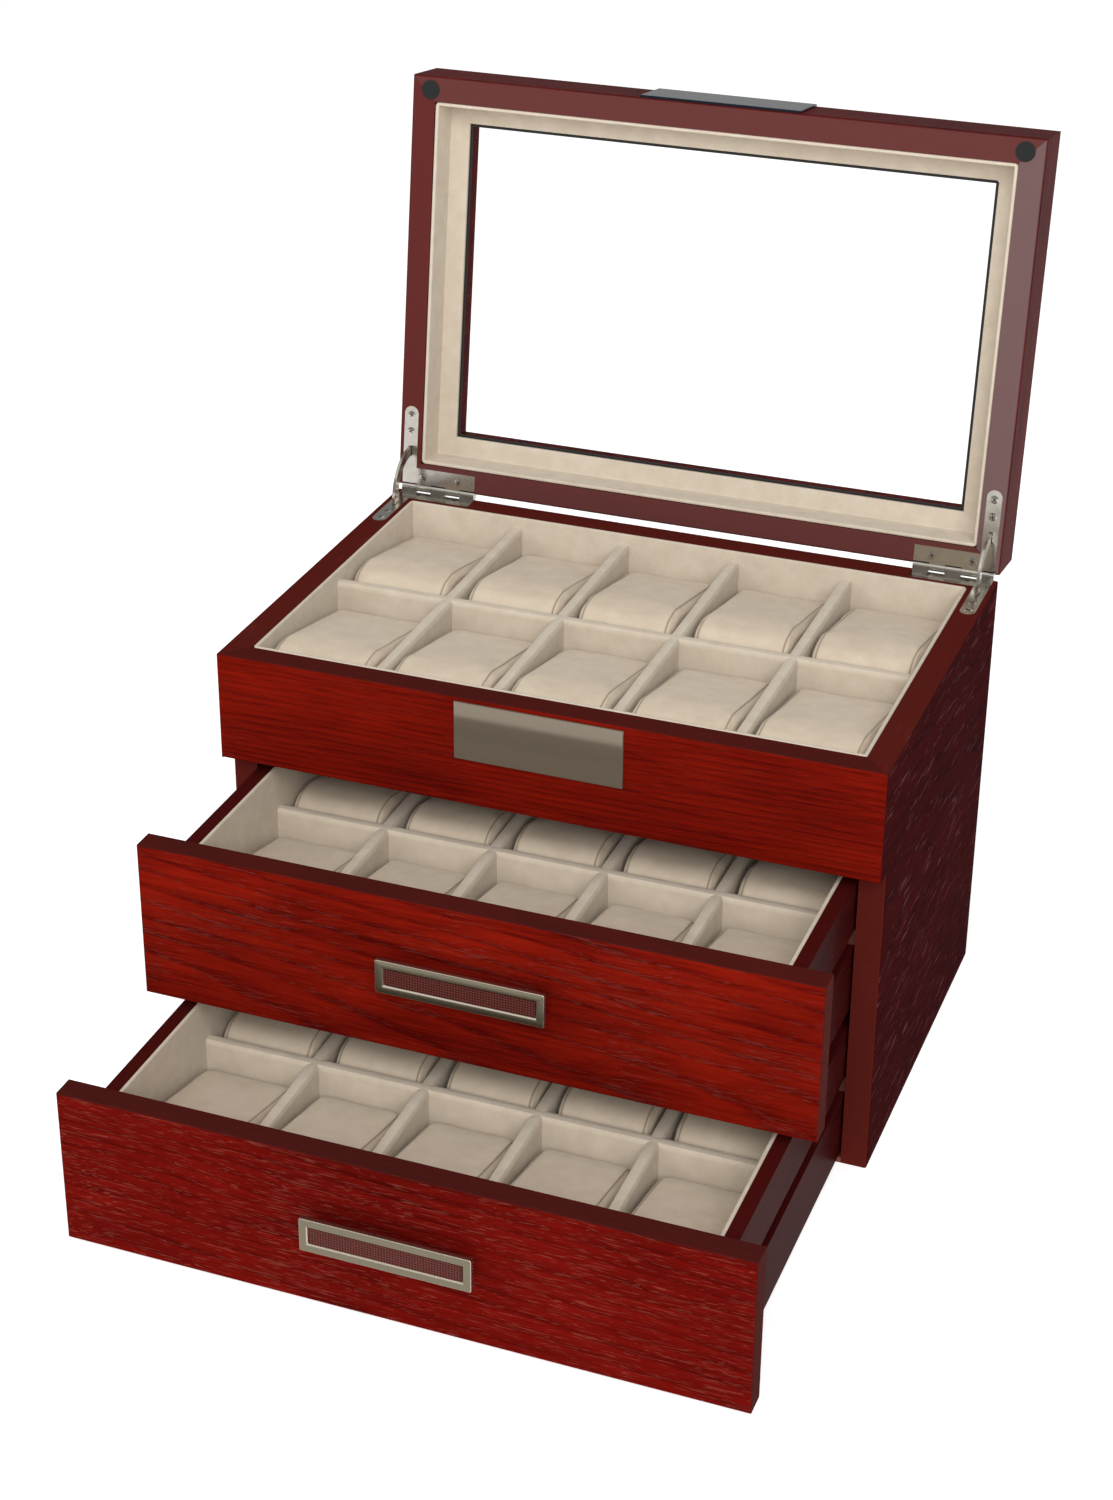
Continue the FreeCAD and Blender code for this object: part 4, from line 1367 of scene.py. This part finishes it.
@dataclass
class LidDressing:
    """What shows inside the lid: the suede frame, the glass and a dark band of painted
    shade along its edge.

    The sizes are those of the shut lid.
    """

    angle: float = math.radians(LID_ANGLE)
    axis_y: float = 112.0 * MM
    axis_z: float = 227.0 * MM
    half_x: float = 154.5 * MM
    half_y: float = 98.0 * MM
    rim_z: float = 225.9 * MM
    ceiling_z: float = 246.5 * MM
    window_x: float = 142.0 * MM
    window_y: float = 85.5 * MM
    board: float = 2.0 * MM
    gap: float = 0.05 * MM
    corner_round: float = 2.3 * MM
    fold_radii_mm: tuple[float, ...] = (0.2, 0.7, 0.7, 0.5, 0.8, 0.2)
    shade_band_wide: float = 1.6 * MM
    shade_band_thick: float = 0.25 * MM
    shade_band_round: float = 1.8 * MM

    def opened(self, points: np.ndarray) -> np.ndarray:
        """Turn points of the shut lid about the hinge axis to where they are at rest.

        y and z about the axis turn by the cosine and sine of the opening angle.

        Args:
            points: places on the shut lid.

        Returns:
            Their places at rest.
        """
        y, z = points[:, 1] - self.axis_y, points[:, 2] - self.axis_z
        c, s = math.cos(self.angle), math.sin(self.angle)
        return np.stack([points[:, 0], self.axis_y + y * c - z * s,
                         self.axis_z + y * s + z * c], -1)

    def suede_frame(self, suede: bpy.types.Material) -> bpy.types.Object:
        """Carry an L section, wall and ledge, round the inside of the lid.

        Args:
            suede: the covering.

        Returns:
            The new piece.
        """
        board, gap = self.board, self.gap
        ledge = self.half_x - self.window_x
        top, bottom = self.ceiling_z - gap, self.rim_z
        corners = np.array([[gap, top], [gap, bottom], [board, bottom], [board, top - board],
                            [ledge, top - board], [ledge, top]])
        section = rounded_outline(corners, np.array(self.fold_radii_mm) * MM, 4)
        high = np.array([self.half_x, self.half_y])
        points, faces = swept_frame(-high, high, section, self.corner_round)
        thing = make_object("lid_lining_suede", self.opened(points), faces, "lid")
        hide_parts("lid_lining")
        finish_piece(thing, suede)
        return thing

    def painted_shade(self, material: bpy.types.Material) -> bpy.types.Object:
        """Lay a thin dark band on the glass along the edge of the window, as painted shade.

        Args:
            material: the dark material that paints the band's shade.

        Returns:
            The new piece.
        """
        z = self.ceiling_z - self.shade_band_thick
        corners = rectangle((0.0, z), (self.shade_band_wide, z + self.shade_band_thick * 0.9))
        section = rounded_outline(corners, [0.05 * MM] * 4, 2)
        high = np.array([self.window_x, self.window_y])
        points, faces = swept_frame(-high, high, section, self.shade_band_round)
        thing = make_object("window_painted_shade", self.opened(points), faces, "lid")
        return finish_piece(thing, material)

    def build(self, suede: bpy.types.Material, painted_shade: bpy.types.Material) -> None:
        """Build the frame and the dark band of painted shade, and dress the glass, the bare
        plate and the bumpers.

        Args:
            suede: the covering of the frame.
            painted_shade: the dark material of the band of painted shade.
        """
        self.suede_frame(suede)
        self.painted_shade(painted_shade)
        dress("lid_glass", Pane().material())
        # The lid plate's dark blue-grey colour is a painted dark reflection.
        dress("lid_plate", Metal("brushed_lid_plate", "#2C353E", "#171D24", 0.22).material())
        rubber = Plain("bumper_felt", "#0D1310", "#060908", 0.85).material()
        for side, _ in SIDES:
            dress("bumper_" + side, rubber)


# Hardware


@dataclass
class HandleFrame:
    """A cast frame pull: rounded outer edges and a bright bevel round its sunk panel."""

    level: str
    thick: float = 3.2 * MM
    sunk: float = 1.2 * MM
    border: float = 4.6 * MM
    bevel: float = 0.9 * MM
    lip: float = 0.6 * MM
    corner_round: float = 0.9 * MM
    post_inset: float = 8.0 * MM
    section_radii_mm: tuple[float, ...] = (0.5, 0.55, 0.12, 0.1, 0.05, 0.05)
    post_profile_mm: tuple[tuple[float, float], ...] = (
        (0.05, 0.0), (3.2, 0.0), (3.2, 0.7), (2.5, 1.2), (2.5, 6.9), (0.05, 6.9))
    crease: float = 40.0

    def build(self, nickel: bpy.types.Material, leather: bpy.types.Material) -> None:
        """Carry the frame's section round its rectangle and add the posts and the back.

        Args:
            nickel: the plating.
            leather: the insert's covering.
        """
        node = self.level + "_handle"
        low, high = node_box(node)
        front, back = low[1], low[1] + self.thick
        sunk, lip = front + self.sunk, self.border + self.lip
        depth = np.array([back, front, front, sunk, sunk + 0.2 * MM, back])
        inward = np.array([0.0, 0.0, self.border - self.bevel, self.border, lip, lip])
        section = rounded_outline(np.stack([inward, depth], -1),
                                  np.array(self.section_radii_mm) * MM, 4)
        flat_low, flat_high = low[[0, 2]], high[[0, 2]]
        points, faces = swept_frame(flat_low, flat_high, section, self.corner_round, 6)
        ring = points[:, [0, 2, 1]]
        panel = slab_rings(flat_low + self.border, flat_high - self.border, 0.3 * MM,
                           (sunk + 0.05 * MM, back - 0.02 * MM))
        parts = [(ring, outward(ring, faces)), closed_loft(panel[:, :, [0, 2, 1]])]
        profile = np.array(self.post_profile_mm) * MM
        middle = (low[2] + high[2]) / 2
        for _, sign in SIDES:
            place = np.array([sign * (high[0] - self.post_inset), high[1], middle])
            parts.append(turned(profile, place, np.array([0, -1.0, 0]), 24))
        points, faces = join_parts(parts)
        thing = make_object(self.level + "_pull", points, faces, self.level + "_drawer")
        sharpen(thing, self.crease)
        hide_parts(node)
        finish_piece(thing, nickel)
        dress(self.level + "_handle_insert", leather)


@dataclass
class HingeScrews:
    """The low domes of the countersunk screws on both leaves of each hinge, with dark bars of
    painted shade in their cross slots.
    """

    head: float = 2.25 * MM
    dome: float = 0.2 * MM
    skirt: float = 0.3 * MM
    slot_long: float = 0.62
    slot_wide: float = 0.24 * MM
    rim_z: float = 225.0 * MM
    lid_foot_z: float = 225.5 * MM
    places: tuple[tuple[float, float], ...] = (
        (161.0 * MM, 80.5 * MM), (161.0 * MM, 71.5 * MM), (153.0 * MM, 105.5 * MM),
        (132.0 * MM, 105.5 * MM))
    crease: float = 50.0
    lid: LidDressing = field(default_factory=LidDressing)

    def head_at(self, place: np.ndarray, up: np.ndarray) -> tuple[np.ndarray, list]:
        """Turn a domed head, whose height falls with the square of the share of the radius.

        Args:
            place: the middle of the head's foot.
            up: the direction that it faces.

        Returns:
            Points and face blocks.
        """
        r = np.linspace(1.0, 0.02, 8)
        profile = np.stack([r * self.head, self.dome * (1 - r ** 2)], -1)
        return turned(np.vstack([[self.head, -self.skirt], profile]), place, up, 22)

    def slot_at(self, place: np.ndarray, up: np.ndarray,
                along: np.ndarray) -> tuple[np.ndarray, list]:
        """Lay a thin dark bar across the head as painted shade in one arm of its cross slot.

        Args:
            place: the middle of the head's foot.
            up: the direction that the head faces.
            along: the direction of the bar.

        Returns:
            Points and face blocks.
        """
        side = np.cross(up, along)
        half_long = self.head * self.slot_long
        base = place + up * (self.dome * 0.8)
        square = np.array([base + along * half_long * a + side * self.slot_wide * b
                           for a, b in ((-1, -1), (1, -1), (1, 1), (-1, 1))])
        return closed_loft(np.stack([square - up * 0.3 * MM, square + up * 0.05 * MM]))

    def build(self, steel: bpy.types.Material, dark: bpy.types.Material) -> None:
        """Build the screws of each leaf and their slots.

        Args:
            steel: the polished plating.
            dark: the shadow inside the slots.
        """
        c, s = math.cos(self.lid.angle), math.sin(self.lid.angle)
        turn = np.array([[1, 0, 0], [0, c, -s], [0, s, c]])
        for word, sign in SIDES:
            case = np.array([[sign * x, y, self.rim_z] for x, y in self.places])
            lid = self.lid.opened(np.array([[sign * x, y, self.lid_foot_z]
                                            for x, y in self.places]))
            for tag, places, up, frame_turn in (("case", case, (0, 0, 1.0), np.eye(3)),
                                                ("lid", lid, (0, 0, -1.0), turn)):
                self.leaf(tag, word, places, frame_turn @ np.array(up), frame_turn, sign,
                          (steel, dark))

    def leaf(self, tag: str, word: str, places: np.ndarray, up: np.ndarray, turn: np.ndarray,
             sign: float, materials: tuple[bpy.types.Material, bpy.types.Material]) -> None:
        """Build one leaf's screws and slots; each slot is turned by an angle of its own.

        Args:
            tag: the body, which names the leaf.
            word: left or right.
            places: the screws' places on the leaf.
            up: the direction that the heads face.
            turn: the rotation of the leaf.
            sign: the side, which shifts the angles.
            materials: the plating and the slots' shadow.
        """
        points, faces = join_parts([self.head_at(place, up) for place in places])
        thing = make_object("screws_{}_{}".format(tag, word), points, faces, tag)
        sharpen(thing, self.crease)
        finish_piece(thing, materials[0])
        # Dark bars of painted shade in the cross slots.
        slots = []
        for k, place in enumerate(places):
            angle = 0.5 + 0.9 * k + sign
            along = turn @ np.array([math.cos(angle), math.sin(angle), 0.0])
            slots.append(self.slot_at(place, up, along))
            slots.append(self.slot_at(place, up, np.cross(up, along)))
        points, faces = join_parts(slots)
        thing = make_object("screw_slot_shades_{}_{}".format(tag, word), points, faces, tag,
                            smooth=False)
        finish_piece(thing, materials[1])


@dataclass
class Hardware:
    """Handles, plates, hinges and stays."""

    # bevels: a painted highlight on the pulls' bevels and sides.
    nickel: Metal = Metal("satin_nickel", "#77705F", "#5E584A", 0.3, bevels="#B8AE9F")
    steel: Metal = Metal("polished_steel", "#B6B1A8", "#8E8980", 0.2, (9.0, 9.0, 9.0), 0.4)
    plate: Metal = Metal("brushed_name_plate", "#7C7162", "#695E51", 0.07, (40.0, 0.3, 0.22),
                         0.5, metallic=0.45)

    def build(self, painted_shade: bpy.types.Material) -> None:
        """Build and dress all the metal.

        Args:
            painted_shade: the dark material that paints the shade in the screws' slots.
        """
        nickel, steel = self.nickel.material(), self.steel.material()
        leather = WovenInsert().material()
        for level in LEVELS:
            HandleFrame(level).build(nickel, leather)
        dress("name_plate", self.plate.material())
        for side, _ in SIDES:
            for part in ("case_leaf", "lid_leaf", "stay"):
                dress("hinge_{}_{}".format(part, side), steel)
        HingeScrews().build(steel, painted_shade)


# Studio


@dataclass(frozen=True)
class Softbox:
    """A white rectangular light that looks at a point, with its size in metres."""

    name: str
    watts: float
    place: tuple[float, float, float]
    size: tuple[float, float]
    aim: tuple[float, float, float]

    def build(self) -> None:
        """Add the light."""
        data = bpy.data.lights.new(self.name, "AREA")
        data.shape = "RECTANGLE"
        data.size, data.size_y = self.size
        data.energy = self.watts
        thing = bpy.data.objects.new(self.name, data)
        thing.location = self.place
        facing = Vector(self.aim) - Vector(self.place)
        thing.rotation_euler = facing.to_track_quat("-Z", "Y").to_euler()
        bpy.context.scene.collection.objects.link(thing)


@dataclass
class Studio:
    """Floor, lights and the camera at the photograph's angle."""

    place: tuple[float, float, float] = (0.41499, -1.20085, 0.82946)
    azimuth: float = 21.556
    elevation: float = 27.25
    roll: float = -0.045
    focal_px: float = 2813.86
    centre_px: tuple[float, float] = (507.23, 704.55)
    image: tuple[int, int] = (1113, 1500)
    floor_half: float = 40.0
    floor_z: float = -0.0002
    paper_glow: float = 0.5
    room_light: float = 0.32
    lights: tuple[Softbox, ...] = (
        Softbox("top_softbox", 12.0, (-0.3, -0.9, 2.3), (2.4, 2.0), (0.0, -0.1, 0.1)),
        Softbox("key", 86.0, (1.1, -2.5, 2.1), (2.4, 1.8), (0.0, -0.1, 0.15)),
        Softbox("fill_left", 12.0, (-2.0, -1.6, 1.6), (1.5, 1.5), (0.0, -0.1, 0.15)),
        Softbox("fill_behind", 10.0, (0.3, 2.6, 1.8), (3.0, 2.0), (0.0, 0.3, 0.2)),
    )

    def camera(self) -> None:
        """Set a camera whose ray through each pixel matches the fitted one."""
        data = bpy.data.cameras.new("camera")
        data.sensor_width = 36.0
        data.sensor_fit = "AUTO"
        wide, high = self.image
        data.lens = self.focal_px * data.sensor_width / high
        data.shift_x = (wide / 2 - self.centre_px[0]) / high
        data.shift_y = (self.centre_px[1] - high / 2) / high
        data.clip_end = 50.0
        thing = bpy.data.objects.new("camera", data)
        a, e = math.radians(self.azimuth), math.radians(self.elevation)
        forward = Vector((-math.sin(a) * math.cos(e), math.cos(a) * math.cos(e), -math.sin(e)))
        right = Vector((math.cos(a), math.sin(a), 0.0))
        matrix = Matrix((right, right.cross(forward), -forward)).transposed().to_4x4()
        roll = Matrix.Rotation(math.radians(self.roll), 4, "Z")
        thing.matrix_world = Matrix.Translation(self.place) @ matrix @ roll
        bpy.context.scene.collection.objects.link(thing)
        bpy.context.scene.camera = thing

    def floor(self) -> None:
        """Lay white paper, far larger than the view, with a faint fibre and a faint glow."""
        half = self.floor_half
        corners = raised(rectangle((-half, -half), (half, half))[None], np.array(self.floor_z))
        mesh = bpy.data.meshes.new("floor")
        mesh.from_pydata(corners[0].tolist(), [], [[0, 1, 2, 3]])
        floor = add_object("floor", mesh)
        paper = Graph("white_paper")
        place = paper.add("TexCoord", out="Object")
        fibre = paper.add("TexNoise", {"Vector": place, "Scale": 300.0, "Detail": 2.0})
        tone = paper.add("Mix", {"Factor": fibre, 6: linear("#F4F4F4"), 7: linear("#EEEEEE")},
                         out=2, data_type="RGBA")
        mesh.materials.append(paper.finish(paper.add("BsdfPrincipled", {
            "Base Color": tone, "Roughness": 1.0, "Specular IOR Level": 0.0,
            "Emission Color": grey(1.0), "Emission Strength": self.paper_glow})))

    def build(self) -> None:
        """Lay the floor and set the world, the lights and the camera."""
        self.floor()
        world = bpy.data.worlds.new("studio")
        world.use_nodes = True
        background = world.node_tree.nodes["Background"]
        background.inputs[0].default_value = grey(1.0)
        background.inputs[1].default_value = self.room_light
        bpy.context.scene.world = world
        for light in self.lights:
            light.build()
        bpy.context.scene.view_settings.view_transform = "Standard"
        self.camera()


def main() -> None:
    """Build the looks in order and note each step."""
    lining = Suede("cream_suede_lining", "#CBBFAE", "#BEB09D").material()
    pillow = Suede("cream_suede_pillow", "#CEBFAB", "#C2B29C").material()
    # Black painted shade for the window's edge band and the screws' cross slots.
    painted_shade = Plain("black_painted_shade", "#15120F", "#0B0908", 0.7).material()
    trays = (("top_tray", "case"), ("upper_drawer", "upper_drawer"),
             ("lower_drawer", "lower_drawer"))
    Woodwork().build()
    for tray, body in trays:
        Lining(tray + "_lining", body).build(lining)
    for tray, body in trays:
        Dividers(tray + "_dividers", body).build(lining)
    Pillows().build(Upholstery(pillow))
    LidDressing().build(lining, painted_shade)
    Hardware().build(painted_shade)
    Studio().build()


if __name__ == "__main__":
    main()
